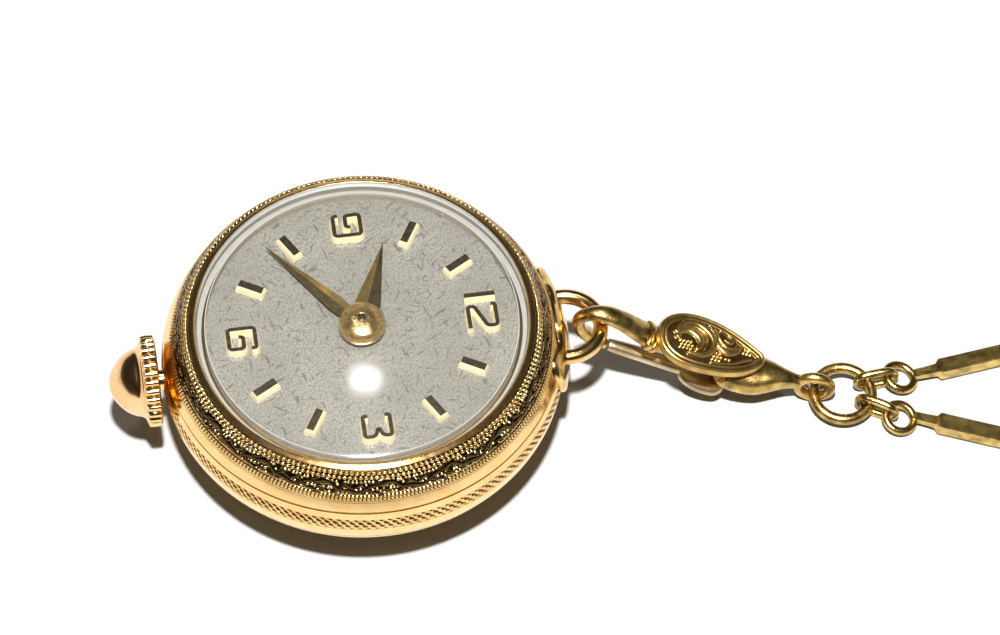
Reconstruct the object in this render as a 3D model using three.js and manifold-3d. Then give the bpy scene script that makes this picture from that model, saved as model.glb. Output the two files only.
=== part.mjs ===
// Fob watch with its clasp and chain, in millimetres.
// Origin: centre of the flat back face. +Z: out of the dial. +X: twelve o'clock, towards the bow.
// -X: six o'clock, with the crown. +Y: nine o'clock.

import * as THREE from "three";
import { mergeVertices } from "three/addons/utils/BufferGeometryUtils.js";
import Module from "manifold-3d";

const wasm = await Module();
wasm.setup();

// ---------------------------------------------------------------- driving dimensions

const ROUND = 32; // facets of the large turned pieces
const FIT = 0.04; // radial clearance between pieces that only touch

const CASE_R = 13.08; // largest radius of the watch, at the band
const CASE_HALF = 7.04; // half height of the case's oval section
const CASE_MID_Z = 6.2; // height of the largest radius
const WALL = 0.78;
const INNER_R = CASE_R - WALL - 0.05;
const INNER_HALF = 6.13;

const BACK_TOP = 4.97; // joint between back and band
const BAND_LOW = 5.03;
const BAND_TOP = 7.62; // joint between band and bezel
const BEZEL_LOW = 7.66;
const BEZEL_TOP = 10.43;
const LEDGE_R = 11.2; // ledge in the band that carries the movement

const DIAL_R = 10.3;
const DIAL_TOP = 9.5;
const DIAL_LOW = 9.2;
const MARK_R = 7.8; // middle of the hour marks
const MARK_RISE = 0.42;

const STEM_Z = 6.3; // height of the winding stem
const CROWN_R = 3.0;
const CROWN_FACE_X = -13.35;
const CROWN_RING = 1.0; // width of the fluted ring
const CROWN_DOME = 2.25;
const CROWN_FLUTES = 30;

const PLATE_R = 9.6; // movement
const PLATE_LOW = 7.3;
const PLATE_TOP = 8.8;
const BRIDGE_LOW = 5.0;
const BRIDGE_TOP = 5.6;
const RIM_R = 9.2;

// arbors of the movement, [x, y]
const CENTRE = [0, 0];
const BARREL = [-3.34, -3.34];
const THIRD = [1.02, 3.83];
const FOURTH = [3.9, 2.78];
const ESCAPE = [5.22, 0.49];
const PALLET = [5.0, -1.5];
const BALANCE = [4.6, -4.2];
const MINUTE = [-2.4, 0];
const SETTING = [-5.0, 0];
const CROWN_WHEEL = [-6.9, 0];
const CLICK = [-5.65, -6.05];
const LEVER = [-7.6, 2.4];

const TEETH = {
  barrel: 56,
  centrePinion: 7,
  centre: 48,
  thirdPinion: 6,
  third: 45,
  fourthPinion: 6,
  fourth: 60,
  escapePinion: 6,
  escape: 15,
  cannon: 8,
  minute: 24,
  minutePinion: 7,
  hour: 28,
  setting: 14,
  windingPinion: 16,
  slidingPinion: 10,
  crownWheel: 20,
  ratchet: 36,
};

const BOW_WIRE = 0.5; // radius
const BOW_R = 2.35;
const BOW_X = 13.25; // centre of the bow's half circle
const BOW_Z = 7.0;

const CLASP_AT = [15.6, -0.05, 7.0]; // where the hook holds the bow wire
const CLASP_YAW = -13.4; // degrees
const CLASP_PITCH = 22.7;
const HOOK_WIRE = 0.45;
const GATE_PIVOT = [10.1, -1.1]; // along the clasp, and across it
const EYE_AT = [15.15, 0.35]; // along the clasp, and across it
const EYE_R = 1.05;
const EYE_WIRE = 0.35;

const JUMP_R = 1.93;
const JUMP_WIRE = 0.36;
const JUMP_AT = [31.15, -3.85, 1.05];
const LINK_WIRE = 0.275;
const STRAND_R = 0.65;
const COIL_AT = [60.0, -5.0];
const COIL_INNER = 7.0;
const COIL_OUTER = 15.8;
const COIL_TOP = 4.3;

// ---------------------------------------------------------------- materials

const FINISHES = {
  gold: { color: 0xd9a441, roughness: 0.18, metalness: 1.0 },
  engraved: { color: 0xb98a35, roughness: 0.35, metalness: 1.0 },
  clasp: { color: 0xa67c32, roughness: 0.35, metalness: 1.0 },
  chain: { color: 0xb08a3c, roughness: 0.32, metalness: 1.0 },
  dial: { color: 0xb9b6ae, roughness: 0.5, metalness: 0.6 },
  hands: { color: 0xd6a84a, roughness: 0.2, metalness: 1.0 },
  glass: { color: 0xf2f4f4, roughness: 0.05, metalness: 0.0, transparent: true, opacity: 0.35 },
  brass: { color: 0xc9a560, roughness: 0.35, metalness: 1.0 },
  nickel: { color: 0xc4c2bc, roughness: 0.35, metalness: 1.0 },
  steel: { color: 0x9a9ca0, roughness: 0.25, metalness: 1.0 },
  blued: { color: 0x2c3f66, roughness: 0.25, metalness: 1.0 },
  ruby: { color: 0x9c1f3c, roughness: 0.1, metalness: 0.0 },
};

// ---------------------------------------------------------------- geometry helpers

// A closed mesh as a manifold, with its faces turned outwards and empty triangles left out.
function solid(geometry) {
  const bare = geometry.index ? geometry.toNonIndexed() : geometry.clone();
  bare.deleteAttribute("normal");
  bare.deleteAttribute("uv");
  const merged = mergeVertices(bare, 1e-5);
  const points = merged.attributes.position.array;
  const kept = [];
  let volume = 0;
  for (let i = 0; i < merged.index.count; i += 3) {
    const [a, b, c] = [0, 1, 2].map((k) => merged.index.getX(i + k));
    if (a === b || b === c || c === a) {
      continue;
    }
    kept.push(a, b, c);
    const [p, q, r] = [a, b, c].map((v) => new THREE.Vector3().fromArray(points, 3 * v));
    volume += p.dot(q.cross(r));
  }
  if (volume < 0) {
    kept.reverse();
  }
  const mesh = new wasm.Mesh({
    numProp: 3,
    vertProperties: new Float32Array(points),
    triVerts: new Uint32Array(kept),
  });
  return new wasm.Manifold(mesh);
}

function geometryOf(manifold) {
  const mesh = manifold.getMesh();
  const geometry = new THREE.BufferGeometry();
  geometry.setAttribute("position", new THREE.BufferAttribute(mesh.vertProperties, 3));
  geometry.setIndex(new THREE.BufferAttribute(mesh.triVerts, 1));
  const flat = geometry.toNonIndexed();
  flat.computeVertexNormals();
  return flat;
}

function join(...solids) {
  return solids.reduce((whole, piece) => whole.add(piece));
}

function moved(piece, x, y, z) {
  return piece.translate([x, y, z]);
}

// Profile of [radius, height] points turned about +Z; it ends on the axis or closes on itself.
function turned(profile, segments = ROUND) {
  const points = profile.map(([r, z]) => new THREE.Vector2(r, z));
  const last = points[points.length - 1];
  if (points[0].x > 0 || last.x > 0) {
    points.push(points[0].clone());
  }
  const geometry = new THREE.LatheGeometry(points, segments);
  geometry.rotateX(Math.PI / 2);
  return solid(geometry);
}

function tubeRing(inner, outer, low, high, segments = ROUND) {
  return turned([[inner, low], [outer, low], [outer, high], [inner, high]], segments);
}

function disc(radius, low, high, segments = 16) {
  return turned([[0, low], [radius, low], [radius, high], [0, high]], segments);
}

function raised(shape, low, high, curveSegments = 8) {
  const geometry = new THREE.ExtrudeGeometry(shape, {
    depth: high - low,
    bevelEnabled: false,
    curveSegments,
  });
  geometry.translate(0, 0, low);
  return solid(geometry);
}

function block(size, centre) {
  const geometry = new THREE.BoxGeometry(...size);
  geometry.translate(...centre);
  return solid(geometry);
}

function outline(points) {
  return new THREE.Shape(points.map(([x, y]) => new THREE.Vector2(x, y)));
}

// A toothed outline: fine wheels have pointed teeth, pinions have flat-topped ones.
function toothed(teeth, tip, root, flat) {
  const points = [];
  for (let i = 0; i < teeth; i += 1) {
    const steps = flat ? [[root, -0.3], [tip, -0.14], [tip, 0.14], [root, 0.3]] : [[root, -0.5], [tip, 0]];
    for (const [radius, part] of steps) {
      const angle = (2 * Math.PI * (i + part)) / teeth;
      points.push([radius * Math.cos(angle), radius * Math.sin(angle)]);
    }
  }
  return outline(points);
}

function wheel(teeth, tip, depth, low, high, flat = false) {
  return raised(toothed(teeth, tip, tip - depth, flat), low, high);
}

function bored(piece, radius, x = 0, y = 0, segments = 16) {
  return piece.subtract(moved(disc(radius, -1, 20, segments), x, y, 0));
}

// A round wire along a smooth open curve.
function wire(points, radius, sides = 8, steps = 20) {
  const ring = [];
  for (let i = 0; i < sides; i += 1) {
    const angle = (2 * Math.PI * (i + 0.5)) / sides;
    ring.push([radius * Math.cos(angle), radius * Math.sin(angle)]);
  }
  const path = new THREE.CatmullRomCurve3(points.map((p) => new THREE.Vector3(...p)));
  const options = { extrudePath: path, steps, bevelEnabled: false };
  return solid(new THREE.ExtrudeGeometry(outline(ring), options));
}

// A closed wire link in the XY plane: two half circles of the given radius, drawn apart along X.
function link(radius, stretch, wireRadius, count = 20, sides = 8) {
  const positions = [];
  const station = (i, j) => {
    const t = (2 * Math.PI * (i % count)) / count + Math.PI / count;
    const phi = (2 * Math.PI * (j % sides)) / sides;
    const reach = radius + wireRadius * Math.cos(phi);
    const x = reach * Math.cos(t) + stretch * Math.sign(Math.cos(t));
    return [x, reach * Math.sin(t), wireRadius * Math.sin(phi)];
  };
  for (let i = 0; i < count; i += 1) {
    for (let j = 0; j < sides; j += 1) {
      const [a, b, c, d] = [station(i, j), station(i + 1, j), station(i + 1, j + 1), station(i, j + 1)];
      positions.push(...a, ...b, ...c, ...a, ...c, ...d);
    }
  }
  const geometry = new THREE.BufferGeometry();
  geometry.setAttribute("position", new THREE.Float32BufferAttribute(positions, 3));
  return solid(geometry);
}

const watch = new THREE.Group();

function add(name, piece, finish, parent = watch) {
  const mesh = new THREE.Mesh(geometryOf(piece), new THREE.MeshStandardMaterial(FINISHES[finish]));
  mesh.name = name;
  parent.add(mesh);
  return mesh;
}

// ---------------------------------------------------------------- case

function ovalRadius(z, radius, half) {
  return radius * Math.sqrt(1 - ((z - CASE_MID_Z) / half) ** 2);
}

// Points of the oval section between two heights.
function ovalPoints(from, to, count, radius = CASE_R, half = CASE_HALF) {
  const points = [];
  for (let i = 0; i <= count; i += 1) {
    const z = from + ((to - from) * i) / count;
    points.push([ovalRadius(z, radius, half), z]);
  }
  return points;
}

function caseBack() {
  const snapIn = 11.5;
  const snapOut = 11.95;
  const outside = ovalPoints(0, BACK_TOP, 5);
  const inside = ovalPoints(4.15, 0.75, 3, INNER_R, INNER_HALF);
  return turned([
    [0, 0], ...outside, [snapOut, BACK_TOP], [snapOut, 5.4], [snapIn, 5.4], [snapIn, 4.3],
    ...inside, [0, 0.75],
  ]);
}

function caseMiddle() {
  const outside = ovalPoints(BAND_LOW, BAND_TOP, 3);
  const inside = [
    [12.2, BAND_TOP], [12.2, 6.9], [LEDGE_R, 6.9], [LEDGE_R, 5.45], [12.0, 5.45], [12.0, BAND_LOW],
  ];
  return turned([...outside, ...inside]).subtract(alongStem(0.75, 10.8, 14));
}

function bezel() {
  return turned([
    [12.15, BEZEL_LOW], [12.8, BEZEL_LOW], [12.53, 8.21], [12.05, 9.2], [11.4, 10.2],
    [11.1, BEZEL_TOP], [10.78, 10.36], [10.78, 9.62], [10.45, 9.62], [10.45, 8.9], [11.9, 8.3],
    [11.9, 7.0], [12.15, 7.0],
  ]);
}

function crystal() {
  const outer = 10.74;
  const dome = (r, lift) => 10.75 + lift * (1 - (r / outer) ** 2);
  const over = [3.5, 6.8, 9.2].map((r) => [r, dome(r, 1.55)]);
  const under = [10.1, 8.4, 5.8, 3.0].map((r) => [r, dome(r, 1.5) - 0.52]);
  return turned([[0, 12.3], ...over, [outer, 10.7], [outer, 9.66], [10.1, 9.66], ...under, [0, 11.73]]);
}

// A cylinder along the stem, from one distance to another on the crown's side.
function alongStem(radius, from, to, segments = 16) {
  return moved(disc(radius, from, to, segments).rotate([0, -90, 0]), 0, 0, STEM_Z);
}

function crown() {
  const face = -CROWN_FACE_X;
  const ringEnd = face + CROWN_RING;
  const ring = wheel(CROWN_FLUTES, CROWN_R, 0.22, face, ringEnd, false);
  const dome = turned([
    [0, ringEnd - 0.1], [2.7, ringEnd - 0.1], [2.62, ringEnd + 0.05], [2.3, ringEnd + 0.3],
    [2.2, ringEnd + 0.6], [1.95, ringEnd + 1.1], [1.3, ringEnd + 1.8], [0.6, ringEnd + 2.15],
    [0, ringEnd + CROWN_DOME],
  ], 18);
  const knob = moved(join(ring, dome).rotate([0, -90, 0]), 0, 0, STEM_Z);
  const recess = join(alongStem(0.8, face - 1, face + 0.6), alongStem(0.39, face - 1, face + 0.95));
  return knob.subtract(recess);
}

function bow() {
  const half = [];
  for (let i = 0; i <= 8; i += 1) {
    const angle = Math.PI * (i / 8 - 0.5);
    half.push([BOW_X + BOW_R * Math.cos(angle), BOW_R * Math.sin(angle), BOW_Z]);
  }
  const foot = 12.4;
  const loop = wire([[foot, -BOW_R, BOW_Z], ...half, [foot, BOW_R, BOW_Z]], BOW_WIRE, 8, 18);
  const reach = 20; // half the angle that the saddle plate covers, in degrees
  const sector = [[11, 0]];
  for (let i = 0; i <= 6; i += 1) {
    const angle = THREE.MathUtils.degToRad(reach * (i / 3 - 1));
    sector.push([15 * Math.cos(angle), 15 * Math.sin(angle)]);
  }
  const section = [
    [13.12, 5.6], [13.55, 5.7], [13.5, 8.3], [12.72, 8.4], [12.86, 7.6], [13.05, 7.0], [13.12, 6.2],
  ];
  const band = turned(section, 64);
  const saddle = band.intersect(raised(outline(sector), 5, 9));
  const shell = turned([[0, 4], ...ovalPoints(4.5, 9, 8, CASE_R + FIT, CASE_HALF + FIT), [0, 9.5]], 64);
  return join(saddle, loop.subtract(shell));
}

add("case_back", caseBack(), "gold");
add("case_middle", caseMiddle(), "gold");
add("bezel", bezel(), "engraved");
add("crystal", crystal(), "glass");
add("crown_tube", alongStem(0.7, 11.9, 13.7).subtract(alongStem(0.43, 10, 15)), "gold");
add("bow", bow(), "gold");
add("casing_ring", tubeRing(9.75, 11.75, 6.95, 8.2, 40), "brass");

// ---------------------------------------------------------------- dial and hands

// Strokes of each numeral as [x, y, width, height], upright with +Y up.
const TOP_BAR = [0, 0.87, 1.9, 0.36];
const LOW_BAR = [0, -0.87, 1.9, 0.36];
const RIGHT_POST = [0.77, 0, 0.36, 2.1];
const LEFT_POST = [-0.77, 0, 0.36, 2.1];
const NUMERALS = {
  12: [[-1.3, 0, 0.5, 2.1], [0.42, 0.87, 1.9, 0.36], [1.19, 0.45, 0.36, 1.2], [0.42, 0.05, 1.9, 0.34],
    [-0.35, -0.4, 0.36, 1.2], [0.42, -0.87, 1.9, 0.36]],
  3: [TOP_BAR, RIGHT_POST, [0.35, 0.05, 1.2, 0.34], LOW_BAR, [-0.77, 0.75, 0.36, 0.6], [-0.77, -0.75, 0.36, 0.6]],
  6: [TOP_BAR, LEFT_POST, [0.4, 0.05, 1.1, 0.34], [0.77, -0.42, 0.36, 1.25], LOW_BAR, [0.77, 0.75, 0.36, 0.6]],
  9: [TOP_BAR, RIGHT_POST, [-0.4, 0.05, 1.1, 0.34], [-0.77, 0.42, 0.36, 1.25], LOW_BAR, [-0.77, -0.75, 0.36, 0.6]],
};

function dial() {
  let plate = bored(disc(DIAL_R, DIAL_LOW, DIAL_TOP, ROUND), 0.85);
  for (let hour = 1; hour <= 12; hour += 1) {
    const angle = -hour * 30;
    const marks = NUMERALS[hour] ?? [[MARK_R, 0, 1.65, 0.5]];
    const middle = DIAL_TOP + MARK_RISE / 2 - 0.05;
    for (const [x, y, width, height] of marks) {
      const mark = block([width, height, MARK_RISE + 0.1], [x, y, middle]);
      if (NUMERALS[hour]) {
        const rad = THREE.MathUtils.degToRad(angle);
        // the numerals stand upright, with their tops towards twelve o'clock
        const upright = mark.rotate([0, 0, -90]);
        plate = plate.add(moved(upright, MARK_R * Math.cos(rad), MARK_R * Math.sin(rad), 0));
      } else {
        plate = plate.add(mark.rotate([0, 0, angle]));
      }
    }
  }
  return plate;
}

// A dauphine hand along +X with a boss around its axis, then turned to its hour.
function hand(length, width, boss, bore, low, thick, angle) {
  const widest = length * 0.28;
  const blade = outline([[0.4, -0.3], [widest, -width / 2], [length, 0], [widest, width / 2], [0.4, 0.3]]);
  const piece = join(raised(blade, low, low + thick), disc(boss, low, low + thick));
  return bored(piece, bore).rotate([0, 0, angle]);
}

const MINUTE_ANGLE = -231; // the hands show about 9:38
const HOUR_ANGLE = -289;

function minuteHand() {
  const blade = hand(8.7, 1.15, 1.4, 0.01, 10.12, 0.14, MINUTE_ANGLE);
  const hub = turned([
    [0, 10.12], [1.5, 10.12], [1.48, 10.3], [1.3, 10.6], [0.95, 10.84], [0.5, 10.97],
    [0.3, 10.97], [0.3, 10.75], [0, 10.75],
  ], 18);
  return join(blade, hub).subtract(disc(0.53, 9, 10.5));
}

add("dial", dial(), "dial");
add("hour_hand", hand(6.6, 1.7, 1.25, 0.77, 9.74, 0.14, HOUR_ANGLE), "hands");
add("minute_hand", minuteHand(), "hands");

// ---------------------------------------------------------------- movement: fixed pieces

// A bridge: an arc of the movement's edge closed by straight sides, bored for its arbors.
function bridge(from, to, inner, holes) {
  const shape = new THREE.Shape();
  const start = THREE.MathUtils.degToRad(from);
  shape.absarc(0, 0, PLATE_R - 0.05, start, THREE.MathUtils.degToRad(to), false);
  for (const [x, y] of inner) {
    shape.lineTo(x, y);
  }
  shape.closePath();
  return holes.reduce(
    (plate, [[x, y], radius]) => bored(plate, radius, x, y),
    raised(shape, BRIDGE_LOW, BRIDGE_TOP, 12),
  );
}

const JEWEL_R = 0.42;
const JEWEL_SEAT = JEWEL_R + 0.01;
const PIVOT_HOLE = 0.13; // plain bearing of an arbor's thin end

function mainPlate() {
  const slab = disc(PLATE_R, PLATE_LOW, PLATE_TOP, ROUND);
  const rim = tubeRing(RIM_R, PLATE_R, BRIDGE_TOP + FIT, PLATE_LOW + 0.1);
  const slot = block([1.7, 2.9, 2.9], [-9.15, 0, STEM_Z]);
  let plate = join(slab, rim).subtract(slot);
  plate = bored(bored(plate, 0.36), 0.31, ...MINUTE);
  plate = bored(plate, 0.31, ...SETTING);
  for (const [x, y] of [ESCAPE, BALANCE]) {
    plate = bored(plate, JEWEL_SEAT, x, y, 12);
  }
  for (const [x, y] of [THIRD, FOURTH, PALLET]) {
    plate = bored(plate, PIVOT_HOLE, x, y, 10);
  }
  return plate;
}

function jewel([x, y], low, high) {
  return moved(tubeRing(0.12, JEWEL_R, low, high, 12), x, y, 0);
}

function barrelBridge() {
  const plate = bridge(128, 280, [[0.75, -1.6], [-0.9, -0.9], [-1.7, 1.4]], [
    [BARREL, 0.5], [CROWN_WHEEL, 0.42], [CLICK, 0.3],
  ]);
  return plate.subtract(block([2, 2.9, 2], [-9.4, 0, 5.3]));
}

function trainBridge() {
  return bridge(-4, 122, [[-1.3, 1.6], [-0.5, -0.75], [0.9, -0.9], [3.6, -0.55], [6.8, -0.45]], [
    [CENTRE, 0.34], [THIRD, PIVOT_HOLE], [FOURTH, PIVOT_HOLE], [ESCAPE, JEWEL_SEAT],
  ]);
}

function palletBridge() {
  const bar = outline([[3.5, -1.15], [3.5, -1.95], [9.2, -2.2], [9.45, -1.1], [7.6, -0.9]]);
  return bored(raised(bar, 5.25, BRIDGE_TOP), PIVOT_HOLE, ...PALLET);
}

function balanceCock() {
  const arm = outline([
    [3.9, -3.6], [4.7, -3.3], [5.5, -3.9], [7.9, -4.9], [7.0, -6.4], [5.0, -5.0], [4.0, -4.9],
  ]);
  const foot = block([1.9, 1.3, BRIDGE_TOP - 4.95], [0, 0, (BRIDGE_TOP + 4.95) / 2]).rotate([0, 0, 55]);
  const whole = join(raised(arm, 4.95, 5.25), moved(foot, 7.5, -5.55, 0));
  return bored(whole, JEWEL_SEAT, ...BALANCE);
}

function screw([x, y], seat) {
  const low = seat - 0.32;
  const head = turned([[0, low], [0.55, low], [0.6, low + 0.06], [0.6, seat - 0.01], [0, seat - 0.01]], 14);
  return moved(head.subtract(block([1.4, 0.16, 0.24], [0, 0, low])), x, y, 0);
}

add("main_plate", mainPlate(), "nickel");
add("barrel_bridge", barrelBridge(), "nickel");
add("train_bridge", trainBridge(), "nickel");
add("pallet_bridge", palletBridge(), "nickel");
add("balance_cock", balanceCock(), "nickel");
add("escape_jewel_lower", jewel(ESCAPE, 5.05, 5.45), "ruby");
add("escape_jewel_upper", jewel(ESCAPE, 7.4, 7.8), "ruby");
add("balance_jewel_lower", jewel(BALANCE, 4.98, 5.2), "ruby");
add("balance_jewel_upper", jewel(BALANCE, 7.4, 7.8), "ruby");
add("barrel_bridge_screw_a", screw([-7.0, 5.3], BRIDGE_LOW), "blued");
add("barrel_bridge_screw_b", screw([-0.4, -8.2], BRIDGE_LOW), "blued");
add("train_bridge_screw", screw([7.6, 3.4], BRIDGE_LOW), "blued");
add("balance_cock_screw", screw([7.5, -5.55], 4.95), "blued");

// ---------------------------------------------------------------- movement: going train

// An arbor with thin pivots at both ends, [low, high] being the thick part.
function arbor(radius, low, high, tipLow, tipHigh, pivot = 0.09) {
  return turned([[0, tipLow], [pivot, tipLow], [pivot, low], [radius, low], [radius, high], [pivot, high],
    [pivot, tipHigh], [0, tipHigh]], 8);
}

// A toothed rim and a leaved pinion, each [teeth, tip radius, low, high], on one arbor.
function trainWheel([x, y], [teeth, tip, low, high], [leaves, leafTip, leafLow, leafHigh]) {
  const shaft = arbor(0.16, BRIDGE_TOP + 0.05, PLATE_LOW - 0.05, 5.1, 7.75);
  const rim = wheel(teeth, tip, 0.2, low, high);
  const pinion = wheel(leaves, leafTip, 0.16, leafLow, leafHigh, true);
  return moved(join(shaft, rim, pinion), x, y, 0);
}

function barrelDrum() {
  const drum = turned([
    [0.5, 5.72], [3.9, 5.72], [3.9, 6.68], [0.5, 6.68], [0.5, 6.56], [3.7, 6.56], [3.7, 5.86], [0.5, 5.86],
  ], 24);
  const teeth = wheel(TEETH.barrel, 4.26, 0.24, 5.76, 6.0).subtract(disc(3.8, 5, 7, 24));
  return moved(join(drum, teeth), ...BARREL, 0);
}

// A flat spiral strip, as the springs are.
function spiral(inner, outer, turns, width, low, high) {
  const steps = Math.round(turns * 12);
  const side = (offset) => Array.from({ length: steps + 1 }, (_, i) => {
    const angle = (2 * Math.PI * turns * i) / steps;
    const radius = inner + ((outer - inner) * i) / steps + offset;
    return [radius * Math.cos(angle), radius * Math.sin(angle)];
  });
  return raised(outline([...side(-width / 2), ...side(width / 2).reverse()]), low, high);
}

function centreWheel() {
  const post = turned([[0, 5.1], [0.3, 5.1], [0.3, 8.7], [0.2, 8.75], [0.2, 10.3], [0, 10.3]], 14);
  const pinion = wheel(TEETH.centrePinion, 0.58, 0.2, 5.74, 6.15, true);
  return join(post, wheel(TEETH.centre, 3.58, 0.22, 6.85, 7.0), pinion);
}

function escapeWheel() {
  const hooked = [];
  for (let i = 0; i < TEETH.escape; i += 1) {
    for (const [radius, part] of [[1.25, 0], [1.68, 0.45], [1.25, 0.6]]) {
      const angle = (2 * Math.PI * (i + part)) / TEETH.escape;
      hooked.push([radius * Math.cos(angle), radius * Math.sin(angle)]);
    }
  }
  const shaft = arbor(0.14, 5.65, PLATE_LOW - 0.05, 5.1, 7.75);
  const pinion = wheel(TEETH.escapePinion, 0.26, 0.09, 6.4, 6.75, true);
  return moved(join(shaft, raised(outline(hooked), 6.0, 6.12), pinion), ...ESCAPE, 0);
}

function palletFork() {
  const body = outline([
    [-1.15, 0.62], [-0.95, 0.42], [-0.2, 0.12], [-0.12, -0.3], [-0.3, -2.05], [-0.16, -2.12],
    [-0.09, -1.8], [0.09, -1.8], [0.16, -2.12], [0.3, -2.05], [0.12, -0.3], [0.2, 0.12],
    [0.95, 0.42], [1.15, 0.62], [0.98, 0.7], [0, 0.32], [-0.98, 0.7],
  ]);
  const towards = Math.atan2(BALANCE[1] - PALLET[1], BALANCE[0] - PALLET[0]);
  const fork = raised(body, 6.0, 6.14).rotate([0, 0, THREE.MathUtils.radToDeg(towards) + 90]);
  return moved(join(fork, arbor(0.13, 5.65, PLATE_LOW - 0.05, 5.32, 7.75)), ...PALLET, 0);
}

function balanceWheel() {
  const rim = tubeRing(2.15, 2.5, 5.66, 5.9, 24);
  const spokes = block([4.5, 0.36, 0.16], [0, 0, 5.78]);
  const staff = arbor(0.17, 5.56, PLATE_LOW - 0.05, 5.03, 7.75);
  const roller = disc(0.36, 5.98, 6.08, 14);
  return moved(join(rim, spokes, staff, roller), ...BALANCE, 0);
}

add("mainspring_barrel", barrelDrum(), "brass");
add("mainspring", moved(spiral(0.85, 3.5, 4, 0.12, 5.92, 6.5), ...BARREL, 0), "steel");
add("barrel_arbor", moved(disc(0.42, 4.62, 7.2, 14), ...BARREL, 0), "steel");
add("centre_wheel", centreWheel(), "brass");
const thirdRim = [TEETH.third, 2.73, 6.0, 6.15];
const thirdLeaves = [TEETH.thirdPinion, 0.46, 6.75, 7.15];
const fourthRim = [TEETH.fourth, 2.42, 6.5, 6.65];
const fourthLeaves = [TEETH.fourthPinion, 0.38, 5.85, 6.3];
add("third_wheel", trainWheel(THIRD, thirdRim, thirdLeaves), "brass");
add("fourth_wheel", trainWheel(FOURTH, fourthRim, fourthLeaves), "brass");
add("escape_wheel", escapeWheel(), "steel");
add("pallet_fork", palletFork(), "steel");
add("balance_wheel", balanceWheel(), "brass");
add("hairspring", moved(spiral(0.4, 1.3, 3, 0.05, 5.36, 5.48), ...BALANCE, 0), "blued");

// ---------------------------------------------------------------- movement: motion work

function minuteWheel() {
  const post = disc(0.27, 7.4, 9.14, 12);
  const gear = wheel(TEETH.minute, 1.84, 0.2, 8.84, 8.94);
  const pinion = wheel(TEETH.minutePinion, 0.55, 0.16, 8.9, 9.14, true);
  return moved(join(post, gear, pinion), ...MINUTE, 0);
}

const cannon = join(disc(0.5, 8.84, 10.42), wheel(TEETH.cannon, 0.64, 0.14, 8.84, 8.94, true));
const hourPipe = join(disc(0.73, 8.99, 9.98), wheel(TEETH.hour, 1.94, 0.18, 8.99, 9.12));
const settingPost = join(disc(0.27, 7.4, 8.96, 12), wheel(TEETH.setting, 0.82, 0.16, 8.84, 8.96));
add("cannon_pinion", bored(cannon, 0.24), "steel");
add("minute_wheel", minuteWheel(), "brass");
add("hour_wheel", bored(hourPipe, 0.55), "brass");
add("setting_wheel", moved(settingPost, ...SETTING, 0), "steel");

// ---------------------------------------------------------------- winding and setting

function onStem(piece) {
  return moved(piece.rotate([0, -90, 0]), 0, 0, STEM_Z);
}

function clickPawl() {
  const pawl = outline([[-0.45, -0.3], [0.2, -0.4], [0.3, 0.1], [0.1, 0.88], [-0.2, 0.65]]);
  const bar = raised(pawl, 4.68, 4.88).rotate([0, 0, 9]);
  return moved(join(bar, disc(0.26, 4.7, 5.5, 10)), ...CLICK, 0);
}

function settingLever() {
  const [x, y] = LEVER;
  const arm = outline([
    [x - 0.55, y + 0.3], [x + 0.2, y + 0.6], [x + 0.55, y - 0.2], [x + 0.85, 0.1], [x + 0.25, 0.1],
  ]);
  return join(raised(arm, 7.0, 7.2), moved(disc(0.28, 5.7, 7.1, 10), x, y, 0));
}

const windingPinion = wheel(TEETH.windingPinion, 1.34, 0.2, 8.42, 9.2);
const slidingPinion = wheel(TEETH.slidingPinion, 0.64, 0.1, 7.42, 8.3);
const crownWheel = join(wheel(TEETH.crownWheel, 1.74, 0.2, 4.65, 4.9), disc(0.4, 4.7, 5.5, 12));
const springPath = [[-6.3, -5.7, 4.8], [-6.9, -5.0, 4.8], [-7.3, -4.2, 4.8], [-7.4, -3.4, 4.8]];
add("winding_stem", join(alongStem(0.3, 7.1, 14.2), alongStem(0.36, 10.9, 13.2)), "steel");
add("crown", crown(), "gold");
add("winding_pinion", onStem(windingPinion).subtract(alongStem(0.34, 8, 10)), "steel");
add("sliding_pinion", onStem(slidingPinion).subtract(alongStem(0.34, 7, 9)), "steel");
add("setting_lever", settingLever(), "steel");
add("crown_wheel", moved(crownWheel, ...CROWN_WHEEL, 0), "steel");
const ratchet = bored(wheel(TEETH.ratchet, 3.12, 0.22, 4.65, 4.9), 0.46);
add("ratchet_wheel", moved(ratchet, ...BARREL, 0), "steel");
add("click", clickPawl(), "steel");
add("click_spring", wire(springPath, 0.08, 6, 6), "blued");

// ---------------------------------------------------------------- clasp

const clasp = new THREE.Group();
clasp.position.set(...CLASP_AT);
clasp.rotation.order = "ZYX";
clasp.rotation.set(0, THREE.MathUtils.degToRad(CLASP_PITCH), THREE.MathUtils.degToRad(CLASP_YAW));
watch.add(clasp);

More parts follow.
